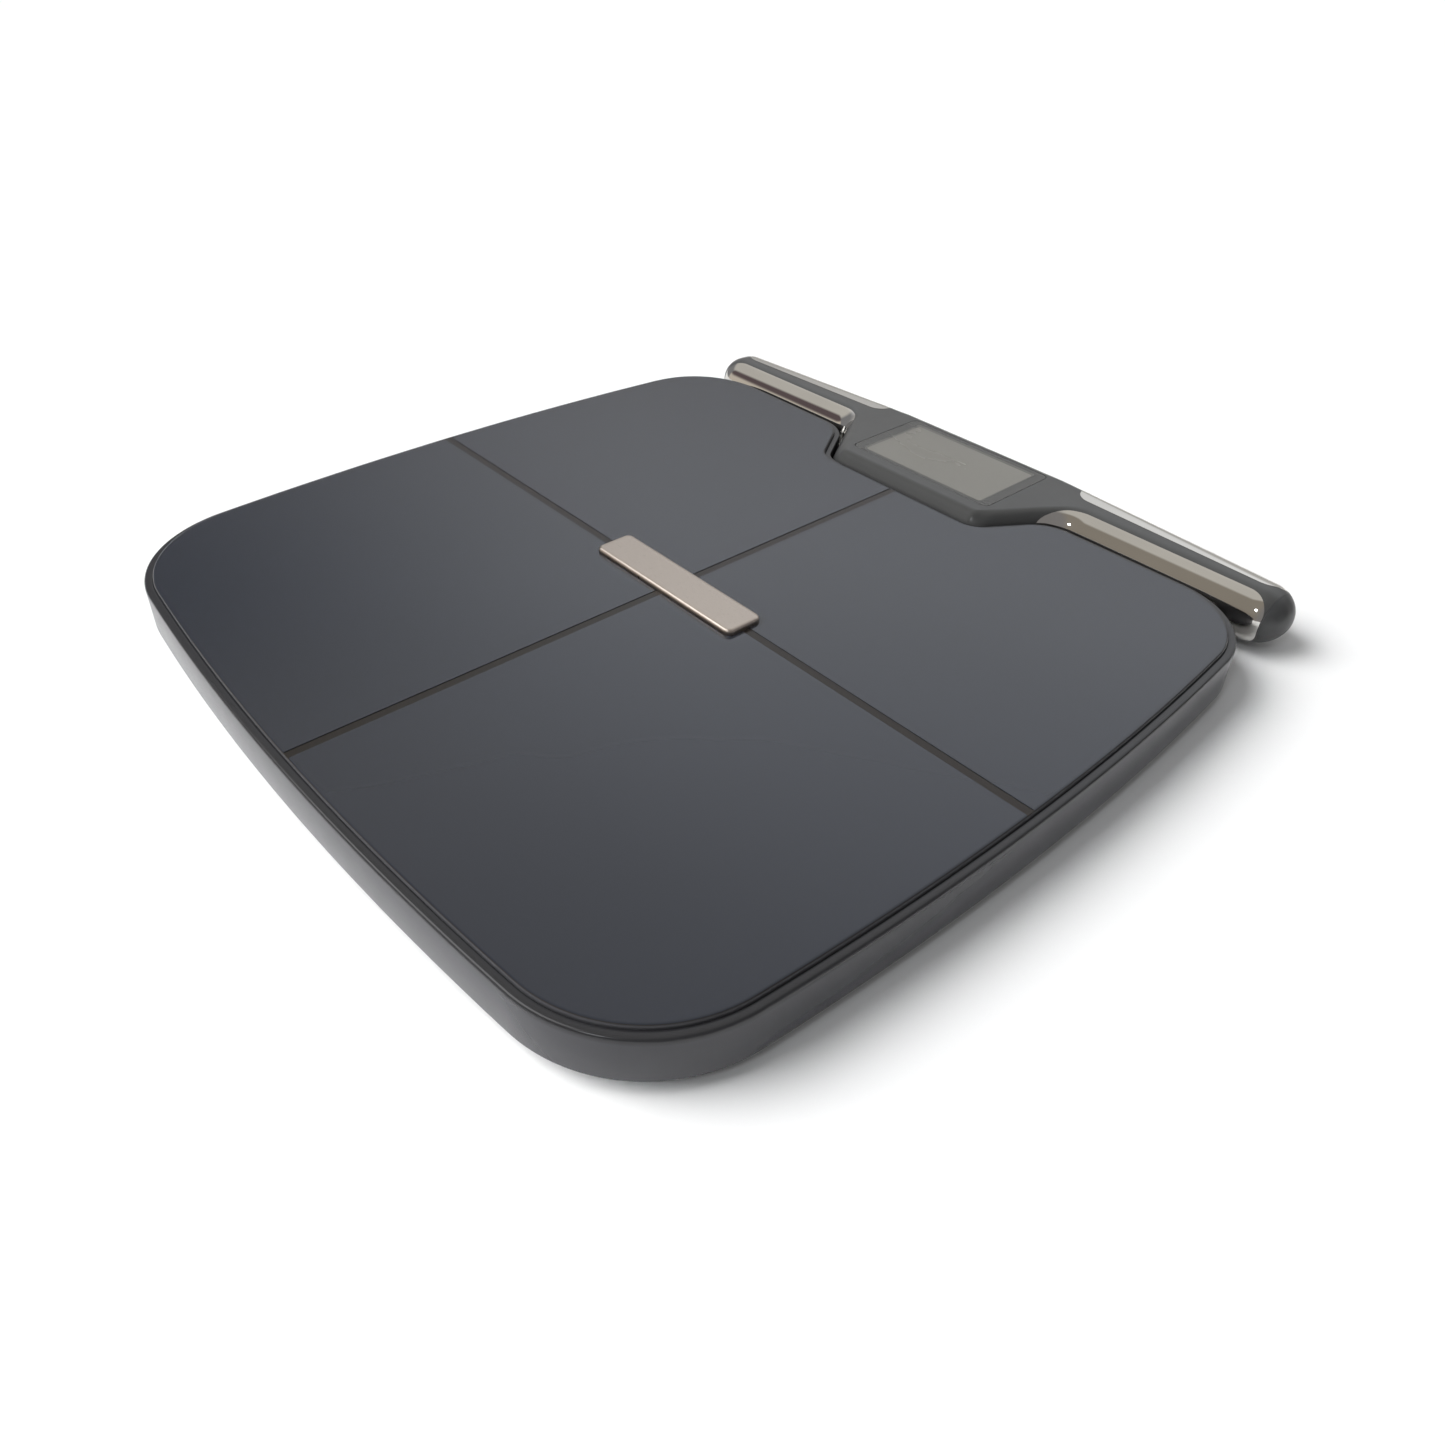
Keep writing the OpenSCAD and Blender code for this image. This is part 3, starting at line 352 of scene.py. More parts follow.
def material(name, colour, roughness, metallic=0.0, ior=1.5):
    """A Principled material with plain values on its sockets."""
    made = bpy.data.materials.new(name)
    made.use_nodes = True
    node = made.node_tree.nodes["Principled BSDF"]
    node.inputs["Base Color"].default_value = (*colour, 1)
    node.inputs["Roughness"].default_value = roughness
    node.inputs["Metallic"].default_value = metallic
    node.inputs["IOR"].default_value = ior
    return made


def add(made, kind, **settings):
    """A new node in a material, with its properties set."""
    node = made.node_tree.nodes.new(kind)
    for key, value in settings.items():
        setattr(node, key, value)
    return node


def place_node(made, stretch=(1, 1, 1)):
    """The point in the object, scaled along each axis."""
    coordinates = add(made, "ShaderNodeTexCoord")
    mapping = add(made, "ShaderNodeMapping")
    mapping.inputs["Scale"].default_value = stretch
    made.node_tree.links.new(coordinates.outputs["Object"], mapping.inputs["Vector"])
    return mapping.outputs["Vector"]


def noise(made, scale, detail=2.0, stretch=(1, 1, 1)):
    """Fractal noise over the object, from 0 to 1."""
    node = add(made, "ShaderNodeTexNoise")
    node.inputs["Scale"].default_value = scale
    node.inputs["Detail"].default_value = detail
    made.node_tree.links.new(place_node(made, stretch), node.inputs["Vector"])
    return node.outputs["Fac"]


def spread(made, source, low, high, start=0.3, end=0.7):
    """Maps a 0 to 1 value to the range from low to high."""
    node = add(made, "ShaderNodeMapRange")
    made.node_tree.links.new(source, node.inputs["Value"])
    for key, value in (("From Min", start), ("From Max", end), ("To Min", low), ("To Max", high)):
        node.inputs[key].default_value = value
    return node.outputs["Result"]


def vary_roughness(made, source, low, high, start=0.3, end=0.7):
    """Lets a pattern drive the roughness."""
    shader = made.node_tree.nodes["Principled BSDF"]
    made.node_tree.links.new(spread(made, source, low, high, start, end), shader.inputs["Roughness"])


def vary_colour(made, source, low, high):
    """Lets a pattern blend the base colour from low to high."""
    ramp = add(made, "ShaderNodeMix", data_type="RGBA")
    ramp.inputs[MIX_A].default_value = (*low, 1)
    ramp.inputs[MIX_B].default_value = (*high, 1)
    made.node_tree.links.new(spread(made, source, 0, 1), ramp.inputs[0])
    shader = made.node_tree.nodes["Principled BSDF"]
    made.node_tree.links.new(ramp.outputs[2], shader.inputs["Base Color"])


def add_bump(made, source, height):
    """Raises the surface by a pattern of the given height."""
    shader = made.node_tree.nodes["Principled BSDF"]
    node = add(made, "ShaderNodeBump")
    node.inputs["Distance"].default_value = height
    made.node_tree.links.new(source, node.inputs["Height"])
    if shader.inputs["Normal"].is_linked:
        before = shader.inputs["Normal"].links[0].from_socket
        made.node_tree.links.new(before, node.inputs["Normal"])
    made.node_tree.links.new(node.outputs["Normal"], shader.inputs["Normal"])


def darken_above(made, start, end, colour):
    """Lets the colour turn into another one over a range of height."""
    shader = made.node_tree.nodes["Principled BSDF"]
    height = add(made, "ShaderNodeSeparateXYZ")
    made.node_tree.links.new(place_node(made), height.inputs[0])
    blend = add(made, "ShaderNodeMix", data_type="RGBA")
    made.node_tree.links.new(spread(made, height.outputs["Z"], 0, 1, start, end), blend.inputs[0])
    made.node_tree.links.new(shader.inputs["Base Color"].links[0].from_socket, blend.inputs[MIX_A])
    blend.inputs[MIX_B].default_value = (*colour, 1)
    made.node_tree.links.new(blend.outputs[2], shader.inputs["Base Color"])


def shade(colour, factor):
    """A colour made lighter or darker by a factor."""
    return tuple(c * factor for c in colour)


def moulded(name, colour, roughness, grain=0.012, **shader):
    """Moulded plastic with a fine spark-eroded grain and faint cloudiness."""
    made = material(name, colour, roughness, **shader)
    vary_colour(made, noise(made, scale=45, detail=3), shade(colour, 0.95), shade(colour, 1.05))
    vary_roughness(made, noise(made, scale=160, detail=3), roughness * 0.93, roughness * 1.08)
    add_bump(made, noise(made, scale=900, detail=1), grain * MM)
    return made


def polished(name, colour, roughness, **shader):
    """Glass or gloss plastic, with faint smears that only show in the reflections."""
    made = material(name, colour, roughness, **shader)
    smears = noise(made, scale=22, detail=4, stretch=(1, 2.2, 1))
    vary_roughness(made, smears, roughness * 0.8, roughness * 1.5)
    vary_colour(made, noise(made, scale=9, detail=3), shade(colour, 0.95), shade(colour, 1.05))
    return made


def metal(name, colour, roughness, stretch=(1, 1, 1), grain=0.0, scale=900):
    """Metal whose grain runs along the axis that stretch makes longest."""
    made = material(name, colour, roughness, metallic=1.0)
    lines = noise(made, scale, 3, stretch)
    vary_roughness(made, lines, roughness * 0.8, roughness * 1.25)
    vary_colour(made, noise(made, scale * 0.6, 2, stretch), shade(colour, 0.96), shade(colour, 1.03))
    if grain:
        add_bump(made, lines, grain * MM)
    return made


# Painted shade: the frame's colour darkens between these heights, from its wall to its flat top, so
# that the top reads darker than the wall.
RIM_PAINTED_SHADE_FROM = 18.0 * MM
RIM_PAINTED_SHADE_TO = 19.6 * MM

GLASS = polished("back_painted_glass", (0.050, 0.050, 0.054), 0.08, ior=1.30)
darken_above(GLASS, GLASS_TOP - 2.2 * FILM_T, GLASS_TOP - 1.1 * FILM_T, (0.019, 0.016, 0.014))
FILM = polished("conductive_film", (0.017, 0.020, 0.028), 0.05, ior=1.53)
SATIN_PLATE = metal("satin_plate", (0.49, 0.436, 0.391), 0.34, (1, 24, 1), 0.002, 500)
RIM = moulded("frame_grey", (0.042, 0.042, 0.048), 0.2, 0.002, ior=1.42)
# The frame's flat top darkens to this colour: painted shade over the frame's own grey.
darken_above(RIM, RIM_PAINTED_SHADE_FROM, RIM_PAINTED_SHADE_TO, (0.020, 0.020, 0.022))
BASE = moulded("base_black", (0.035, 0.035, 0.037), 0.55, 0.01)
SHELL = moulded("handle_grey", (0.039, 0.040, 0.040), 0.3, 0.004)
# A slightly darker copy of the handle plastic, painted shade, for the lower shell, the end caps and the
# feet.
SHELL_PAINTED_SHADE = moulded("handle_grey_painted_shade", (0.036, 0.037, 0.038), 0.38, 0.004)
CHROME = metal("mirror_chrome", (0.66, 0.645, 0.615), 0.055, (1, 3, 3), 0.0, 60)
STEEL = metal("zinc_steel", (0.62, 0.62, 0.63), 0.3, (1, 1, 1), 0.002, 700)
NICKEL = metal("nickel", (0.66, 0.64, 0.60), 0.22, (1, 1, 1), 0.0, 700)
SPRING_STEEL = metal("blued_steel", (0.30, 0.32, 0.38), 0.28, (1, 1, 1), 0.0, 700)
RUBBER = moulded("rubber_grey", (0.10, 0.10, 0.105), 0.75, 0.03)
RUBBER_BLACK = moulded("rubber_black", (0.02, 0.02, 0.02), 0.7, 0.02)
NATURAL = moulded("natural_plastic", (0.55, 0.55, 0.52), 0.5, 0.01)
DRUM = moulded("acetal", (0.70, 0.68, 0.62), 0.42, 0.006)
BUTTON = moulded("button_grey", (0.20, 0.20, 0.21), 0.45, 0.01)
KEY = moulded("key_grey", (0.075, 0.075, 0.078), 0.5, 0.012)
SOLDER_MASK = polished("solder_mask", (0.02, 0.11, 0.05), 0.3, ior=1.5)
LENS_PRINT = polished("lens_print", (0.044, 0.044, 0.042), 0.2, ior=1.47)
LCD_EDGE = polished("lcd_edge", (0.078, 0.077, 0.071), 0.2, ior=1.47)
LCD = polished("lcd_glass", (0.146, 0.141, 0.125), 0.2, ior=1.47)
SLEEVE = metal("battery_sleeve", (0.50, 0.27, 0.10), 0.3, (1, 1, 1), 0.0, 300)

# ---- Platform ----

PLATE_R = 2.6 * MM
EDGE_R = 1.1 * MM
EDGE_D = -0.2 * MM
EDGE_STEPS = 7
FILM_EDGE_STEPS = 6
UNDER_BEVEL = 0.3 * MM
GLASS_FLAT_D = -0.6 * MM
FILM_FLAT_D = -0.7 * MM
PLATE_GAP = 0.1 * MM
PLATE_BEVEL = 1.2 * MM
PLATE_STEPS = 6
CUT_REACH = 1 * MM


def edge_ring(angle):
    """The ring of the glass's rounded upper edge at an angle from 0, its side, to 90, its top."""
    a = math.radians(angle)
    return ring(EDGE_D + EDGE_R * math.cos(a), GLASS_TOP - EDGE_R * (1 - math.sin(a)))


def glass_plate():
    """The glass, up to where the films start on its rounded upper edge."""
    under = glass_lo.z
    split = math.degrees(math.asin(1 - FILM_T / EDGE_R))
    side = EDGE_D + EDGE_R
    rows = [ring(side - UNDER_BEVEL, under), ring(side, under + UNDER_BEVEL)]
    rows += [edge_ring(a) for a in np.linspace(0, split, EDGE_STEPS)]
    rows += [ring(GLASS_FLAT_D, GLASS_TOP - FILM_T)]
    dress(new_object("glass_plate", loft(rows), "platform", ["glass_top"]), GLASS)


def halve(bm, place, normal):
    """Cuts a solid with a plane, keeps the side behind it and closes the cut."""
    made = bmesh.ops.bisect_plane(
        bm, geom=bm.verts[:] + bm.edges[:] + bm.faces[:],
        plane_co=place, plane_no=normal, clear_outer=True,
    )
    edges = [g for g in made["geom_cut"] if isinstance(g, bmesh.types.BMEdge)]
    bmesh.ops.edgenet_fill(bm, edges=edges)


def plate_outline(grow):
    """The centre plate's outline, grown all round."""
    half = (cross_hi - cross_lo) / 2
    return rounded_rect(half.x + grow, half.y + grow, PLATE_R + grow, 0, Y_CROSS)


def foot_films():
    """The four foot electrodes: the glass's top skin, parted by the gaps and cut round the plate."""
    split = math.degrees(math.asin(1 - FILM_T / EDGE_R))
    for side, side_name in ((-1, "left"), (1, "right")):
        for end, end_name in ((-1, "heel"), (1, "toe")):
            rows = [edge_ring(a) for a in np.linspace(split, 90, FILM_EDGE_STEPS)]
            rows += [ring(FILM_FLAT_D, GLASS_TOP)]
            bm = loft(rows)
            halve(bm, (side * GAP / 2, 0, 0), (-side, 0, 0))
            halve(bm, (0, Y_CROSS + end * GAP / 2, 0), (0, -end, 0))
            window = plate_outline(PLATE_GAP)
            bm = cut(bm, [prism(window, GLASS_TOP - CUT_REACH, GLASS_TOP + CUT_REACH)])
            node = f"{end_name}_electrode_{side_name}"
            piece = new_object(f"{end_name}_film_{side_name}", bm, "platform", [node])
            dress(piece, FILM)


def crossing_plate():
    """The satin plate over the crossing of the gaps."""
    half = (cross_hi - cross_lo) / 2
    place = (0, Y_CROSS)
    bm = pad(half.x, half.y, PLATE_R, place, cross_lo.z, cross_hi.z, PLATE_BEVEL, PLATE_STEPS)
    piece = new_object("crossing_plate", bm, "platform", ["centre_plate"])
    dress(piece, SATIN_PLATE)


def fillet(points, n=5):
    """A closed profile of (d, z, radius) corners as points, each corner rounded by its radius."""
    out = []
    for i, (d, z, r) in enumerate(points):
        here = Vector((d, z))
        before = (Vector(points[i - 1][:2]) - here).normalized()
        after = (Vector(points[(i + 1) % len(points)][:2]) - here).normalized()
        if not r:
            out.append(here)
            continue
        half = before.angle(after) / 2
        reach = r / math.tan(half)
        centre = here + (before + after).normalized() * r / math.sin(half)
        start, end = here + before * reach - centre, here + after * reach - centre
        turn = math.atan2(start.cross(end), start.dot(end))
        out += [centre + Matrix.Rotation(turn * k / n, 2) @ start for k in range(n + 1)]
    return out


# The rim's profile: offset from the glass edge, height and corner radius, from the wall's foot up.
# It laps over the base cover's edge, and its inner edge leaves a fine gap round the glass.
RIM_PROFILE = (
    (4.1, 5.3, 0.4), (3.75, 20.25, 0.95), (0.98, 20.1, 0.15), (0.98, 16.0, 0), (-6.0, 16.0, 0.2),
    (-6.0, 14.4, 0.2), (1.3, 14.4, 0.2), (1.3, 6.9, 0), (3.6, 6.9, 0), (3.6, 5.3, 0.08),
)


def rim_frame():
    """The frame: its profile swept round the platform's outline."""
    corners = [(d * MM, z * MM, r * MM) for d, z, r in RIM_PROFILE]
    rows = [ring(p[0], p[1]) for p in fillet(corners)]
    bm = loft(rows, looped=True, caps=False)
    piece = new_object("rim_frame", bm, "platform", ["top_frame"], sharp=24)
    dress(piece, RIM)


# ---- Handle ----

handle_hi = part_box("handle_top_shell")[1]
lens_lo, lens_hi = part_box("display_lens")
BAR_HALF = 143.5 * MM
BAR_Y1 = handle_hi.y
BAR_D = 24.4 * MM
BAR_Y0 = BAR_Y1 - BAR_D
BAR_Z0 = 2.4 * MM
BAR_Z1 = 23.0 * MM
BULGE_Z0 = 8.2 * MM
BULGE_Z1 = handle_hi.z
SEAM_Z = 12.7 * MM
FLARE_R = 13 * MM
FLARE_Y = BAR_Y0 - FLARE_R
FLARE_X = NOTCH_P[0] + (DOCK_GAP - FLARE_R - NOTCH_N[1] * (FLARE_Y - NOTCH_P[1])) / NOTCH_N[0]
PLATEAU_W = 6 * MM
REAR_START = 40 * MM
CAP_START = BAR_HALF - 11.8 * MM
CAP_JOINT = BAR_HALF - 6 * MM
BAR_RY = BAR_D / 2 - 1.2 * MM
BAR_RZ = (BAR_Z1 - BAR_Z0) / 2 - 0.2 * MM
SHELL_T = 2.65 * MM

# The wide body's corners: the rear top's radius, the front top's height, the front lower one's depth,
# and the radius of the lower corners.
REAR_TOP_R = 3.6 * MM
FRONT_TOP_RZ = 8.5 * MM
FRONT_LOW_RY = 5 * MM
LOW_R = 4 * MM

# Where the section starts to turn from the wide body to the bar.
TURN_START = NOTCH_INNER_C[0] + 3 * MM

# Keeps a value just off a limit, such as an angle in degrees off the end of its quarter.
TINY = 1e-6

# Stations along half the handle, in millimetres: from, to and their number.
WIDE_STATIONS = (0, 30, 7)
TURN_STATIONS = (31, 66, 52)
BAR_STATIONS = (70, CAP_START / MM, 12)
CAP_FROM = 133
CAP_STATIONS = 7


def mix(a, b, t):
    """The value at share t of the way from a to b."""
    return a + (b - a) * t


def body_front(x, w):
    """The handle's front edge at distance x from the middle, moved back by w."""
    r_in = NOTCH_INNER_R - DOCK_GAP - w
    r_out = FLARE_R + w
    x_in = NOTCH_INNER_C[0] + r_in * math.sin(NOTCH_A)
    x_out = FLARE_X - r_out * math.sin(NOTCH_A)
    y_in = NOTCH_INNER_C[1] - r_in * math.cos(NOTCH_A)
    if x <= NOTCH_INNER_C[0]:
        return Y_NOTCH + DOCK_GAP + w
    if x <= x_in:
        return NOTCH_INNER_C[1] - math.sqrt(r_in ** 2 - (x - NOTCH_INNER_C[0]) ** 2)
    if x <= x_out:
        return y_in + (x - x_in) * math.tan(NOTCH_A)
    if x <= FLARE_X:
        return FLARE_Y + math.sqrt(r_out ** 2 - (FLARE_X - x) ** 2)
    return FLARE_Y + r_out


def bar_share(x):
    """How far the section has turned from the wide body to the round bar."""
    t = min(max((x - TURN_START) / (FLARE_X - TURN_START), 0), 1)
    return t * t * (3 - 2 * t)


def rear_share(x):
    """The same for the rear top of the section, which thins evenly towards the bar's ends."""
    return min(max((x - REAR_START) / (CAP_START - REAR_START), 0), 1)


def skin_point(x, angle, inset=0.0):
    """A point of the handle's surface at x and at an angle from the back over the top to the front.

    inset is the depth under the surface.
    """
    away = abs(x)
    t = bar_share(away)
    s = 1.0
    if away > CAP_START:
        s = math.sqrt(max(1 - ((away - CAP_START) / (BAR_HALF - CAP_START)) ** 2, TINY))
    quarter = min(int(angle // 90), 3)
    y0 = body_front(away, 0)
    z0 = mix(BULGE_Z0, BAR_Z0, t)
    z1 = mix(BULGE_Z1, BAR_Z1, rear_share(away))
    ry = (REAR_TOP_R, body_front(away, PLATEAU_W) - y0, FRONT_LOW_RY, LOW_R)[quarter]
    rz = (REAR_TOP_R, FRONT_TOP_RZ, LOW_R, LOW_R)[quarter]
    turned = rear_share(away) if quarter == 0 else t
    ry, rz = mix(ry, BAR_RY, turned), mix(rz, BAR_RZ, turned)
    cy = BAR_Y1 - ry if quarter in (0, 3) else y0 + ry
    cz = z1 - rz if quarter < 2 else z0 + rz
    y = cy + (ry - inset / s) * math.cos(math.radians(angle))
    z = cz + (rz - inset / s) * math.sin(math.radians(angle))
    my, mz = (BAR_Y0 + BAR_Y1) / 2, (BAR_Z0 + BAR_Z1) / 2
    return (x, my + (y - my) * s, mz + (z - mz) * s)


def section_angles(first, last, per_quarter=14):
    """Angles from first to last, with both ends of each quarter kept, for the flats between them."""
    angles = []
    for q in range(first // 90, last // 90):
        angles += [q * 90 + 90 * i / per_quarter + (TINY if i == 0 else 0) for i in range(per_quarter)]
        angles.append((q + 1) * 90 - TINY)
    return angles


def stations(reach):
    """Distances along the handle, closer together where its section changes."""
    half = list(np.linspace(*WIDE_STATIONS)) + list(np.linspace(*TURN_STATIONS))
    half += list(np.linspace(*BAR_STATIONS)) + list(np.linspace(CAP_FROM, reach / MM, CAP_STATIONS))
    return [-x * MM for x in half[:0:-1]] + [x * MM for x in half]


def shell_rows(reach, first, last, inset):
    """The grid of a shell's surface, from the seam over its quarters to the seam."""
    rows = []
    for x in stations(reach):
        row = [skin_point(x, a, inset) for a in section_angles(first, last)]
        start, end = row[0], row[-1]
        row = [(x, start[1], SEAM_Z)] + row + [(x, end[1], SEAM_Z)]
        rows.append(row)
    return rows


def lens_outline(grow, r):
    """The display lens's outline, grown all round."""
    centre = ((lens_lo.x + lens_hi.x) / 2, (lens_lo.y + lens_hi.y) / 2)
    half_w, half_d = (lens_hi.x - lens_lo.x) / 2, (lens_hi.y - lens_lo.y) / 2
    return rounded_rect(half_w + grow, half_d + grow, r, *centre)


WINDOW_LO = Vector((-30.2, 112.9)) * MM
WINDOW_HI = Vector((30.2, 148.8)) * MM
WINDOW_R = 1.2 * MM
LENS_R = 2.4 * MM
LENS_GAP = 0.12 * MM
LENS_BED = 0.1 * MM
LENS_CUT_REACH = 2 * MM
WELL_MARGIN = 1.5 * MM
WELL_DEPTH = 6 * MM


def window_outline(grow):
    """The outline of the clear window in the lens's border, grown all round."""
    centre, half = (WINDOW_LO + WINDOW_HI) / 2, (WINDOW_HI - WINDOW_LO) / 2
    return rounded_rect(half.x + grow, half.y + grow, WINDOW_R + grow, *centre)


KEYS = ("power_key", "up_key", "down_key")

# A key's hole against the key's box: its low and high corners, and its corner radius.
KEY_HOLE_LO = Vector((0.7, -2, 0.3)) * MM
KEY_HOLE_HI = Vector((-0.7, 3, -0.1)) * MM
KEY_HOLE_R = 1.3 * MM
KEY_HOLE_BEVEL = 0.01 * MM


def key_hole(node):
    """The cutter for a key's hole in the handle's back."""
    lo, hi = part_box(node)
    lo, hi = lo + KEY_HOLE_LO, hi + KEY_HOLE_HI
    place = ((lo.x + hi.x) / 2, (lo.z + hi.z) / 2)
    half_w, half_h = (hi.x - lo.x) / 2, (hi.z - lo.z) / 2
    hole = pad(half_w, half_h, KEY_HOLE_R, place, -hi.y, -lo.y, KEY_HOLE_BEVEL, steps=1)
    bmesh.ops.transform(hole, matrix=Matrix.Rotation(math.pi / 2, 4, "X"), verts=hole.verts)
    return hole


def handle_shells():
    """The handle's two shells, with the lens's bed, the display's well and the key holes cut out."""
    top = slab(shell_rows(CAP_JOINT, 0, 180, 0), shell_rows(CAP_JOINT, 0, 180, SHELL_T))
    cutters = [
        prism(lens_outline(LENS_GAP, LENS_R), lens_lo.z - LENS_BED, BULGE_Z1 + LENS_CUT_REACH),
        prism(window_outline(WELL_MARGIN), BULGE_Z1 - WELL_DEPTH, BULGE_Z1),
    ]
    cutters += [key_hole(node) for node in KEYS]
    piece = new_object("upper_shell", cut(top, cutters), "handle", ["handle_top_shell"], sharp=30)
    dress(piece, SHELL)
    low = slab(shell_rows(CAP_JOINT, 180, 360, 0), shell_rows(CAP_JOINT, 180, 360, SHELL_T))
    piece = new_object("lower_shell", low, "handle", ["handle_bottom_shell"], sharp=30)
    # The lower shell takes the darker copy of the handle plastic: painted shade.
    dress(piece, SHELL_PAINTED_SHADE)


CAP_STEPS = 16
CAP_LAP = 0.05 * MM
CAP_TIP_GAP = 0.02 * MM
PLUG_L = 4 * MM


def end_caps():
    """The handle's rounded ends, each with a plug that goes into the shells."""
    angles = section_angles(0, 360)
    for side, name in ((-1, "left"), (1, "right")):
        turns = [math.pi / 2 * i / CAP_STEPS for i in range(1, CAP_STEPS + 1)]
        xs = [CAP_JOINT + (BAR_HALF - CAP_JOINT) * math.sin(t) for t in turns]
        xs[-1] -= CAP_TIP_GAP
        plug = [skin_point(side * CAP_JOINT, a, SHELL_T) for a in angles]
        rows = [[(x - side * PLUG_L, y, z) for x, y, z in plug], plug]
        rows += [[skin_point(side * (x + CAP_LAP), a) for a in angles] for x in [CAP_JOINT] + xs[:-1]]
        rows += [[skin_point(side * xs[-1], a) for a in angles]]
        piece = new_object(f"end_{name}", loft(rows), "handle", [f"end_cap_{name}"], sharp=50)
        dress(piece, SHELL_PAINTED_SHADE)


GRIP_START = 50 * MM
GRIP_END = 137.2 * MM
GRIP_IN_R = 6.5 * MM
GRIP_OUT_R = 9 * MM
GRIP_CORNER_STEPS = 14
GRIP_TURN_STATIONS = 12
GRIP_BAR_STATIONS = 14
GRIP_TURN_GAP = 0.8 * MM
GRIP_TURN_END = 66 * MM
GRIP_BAR_START = 70 * MM
GRIP_BAR_GAP = 1 * MM
FRONT_POINTS = 45
REAR_FLAT_POINTS = 6
REAR_POINTS = 40

# How far round the grip the electrodes reach, in degrees, from level at its front or back.
STRIP_FRONT = 69.5
STRIP_LOW = 65
STRIP_REAR_Y = (146.0 * MM, 143.2 * MM)
SKIN_T = 0.8 * MM
PROUD = 0.1 * MM
SKIN_EDGE_R = 0.18 * MM
SKIN_EDGE_STEPS = 3

# The length of one degree round the grip.
DEGREE = 0.183 * MM


def corner_cut(x):
    """How far the electrode's edges draw in at x, to round its corners."""
    for edge, r in ((x - GRIP_START, GRIP_IN_R), (GRIP_END - x, GRIP_OUT_R)):
        if edge < r:
            return r - math.sqrt(max(r * r - (r - edge) ** 2, 0))
    return 0


def grip_stations():
    """Distances along a grip, closer together round the electrode's corners."""
    n = GRIP_CORNER_STEPS
    ends = [1 - math.cos(math.pi / 2 * i / n) for i in range(n + 1)]
    xs = [GRIP_START + GRIP_IN_R * e for e in ends]
    turn_start = GRIP_START + GRIP_IN_R + GRIP_TURN_GAP
    xs += list(np.linspace(turn_start, GRIP_TURN_END, GRIP_TURN_STATIONS))
    bar_end = GRIP_END - GRIP_OUT_R - GRIP_BAR_GAP
    xs += list(np.linspace(GRIP_BAR_START, bar_end, GRIP_BAR_STATIONS))
    return xs + [GRIP_END - GRIP_OUT_R * e for e in ends[::-1]]


def front_row(x, side, inset):
    """The front electrode's section at x, from its upper edge to its lower one."""
    pull = corner_cut(x) / DEGREE
    angles = np.linspace(180 - STRIP_FRONT + pull, 180 + STRIP_LOW - pull, FRONT_POINTS)
    return [skin_point(side * x, a, inset) for a in angles]


def rear_row(x, side, inset):
    """The rear electrode's section at x. Its upper edge lies on the flat top."""
    pull = corner_cut(x)
    crest = skin_point(x, 90 - TINY)[1]
    along = (x - GRIP_START) / (GRIP_END - GRIP_START)
    flat = crest - mix(STRIP_REAR_Y[0], STRIP_REAR_Y[1], along) - pull
    top = 90 - max(-flat, 0) / DEGREE - TINY
    row = []
    for k in range(REAR_FLAT_POINTS):
        point = skin_point(side * x, top, inset)
        row.append((point[0], point[1] - max(flat, 0) * (1 - k / REAR_FLAT_POINTS), point[2]))
    low = -STRIP_LOW + pull / DEGREE
    angles = np.linspace(top, low, REAR_POINTS)
    return row + [skin_point(side * x, a % 360, inset) for a in angles]


def hand_electrodes():
    """The four chromed skins on the grips, each proud of the shells by a little."""
    for row, name in ((front_row, "front"), (rear_row, "rear")):
        for side, side_name in ((-1, "left"), (1, "right")):
            outer = [row(x, side, -PROUD) for x in grip_stations()]
            inner = [row(x, side, SKIN_T - PROUD) for x in grip_stations()]
            replaced = [f"{name}_electrode_{side_name}"]
            skin = slab(outer, inner)
            piece = new_object(f"{name}_skin_{side_name}", skin, "handle", replaced, sharp=40)
            soften(piece, SKIN_EDGE_R, SKIN_EDGE_STEPS)
            dress(piece, CHROME)


def soften(piece, width, segments, angle=50):
    """Rounds a piece's sharp edges for good."""
    step = piece.modifiers.new("soften", "BEVEL")
    step.width = width
    step.segments = segments
    step.limit_method = "ANGLE"
    step.angle_limit = math.radians(angle)
    step.use_clamp_overlap = True
    bpy.context.view_layer.update()
    shaped = bpy.data.meshes.new_from_object(piece.evaluated_get(bpy.context.evaluated_depsgraph_get()))
    piece.modifiers.clear()
    piece.data = shaped


PANEL_LO = WINDOW_LO + Vector((1.3, 0.4)) * MM
PANEL_HI = WINDOW_HI - Vector((0.5, 1.7)) * MM
PANEL_R = 1.0 * MM
LENS_FIT = 0.05 * MM
LENS_EDGE_R = 0.12 * MM
LENS_EDGE_STEPS = 2
LCD_SUNK = 0.01 * MM
LCD_LAP = 0.02 * MM


def panel_outline(grow):
    """The display's lit area, grown all round."""
    centre, half = (PANEL_LO + PANEL_HI) / 2, (PANEL_HI - PANEL_LO) / 2
    return rounded_rect(half.x + grow, half.y + grow, PANEL_R, *centre)


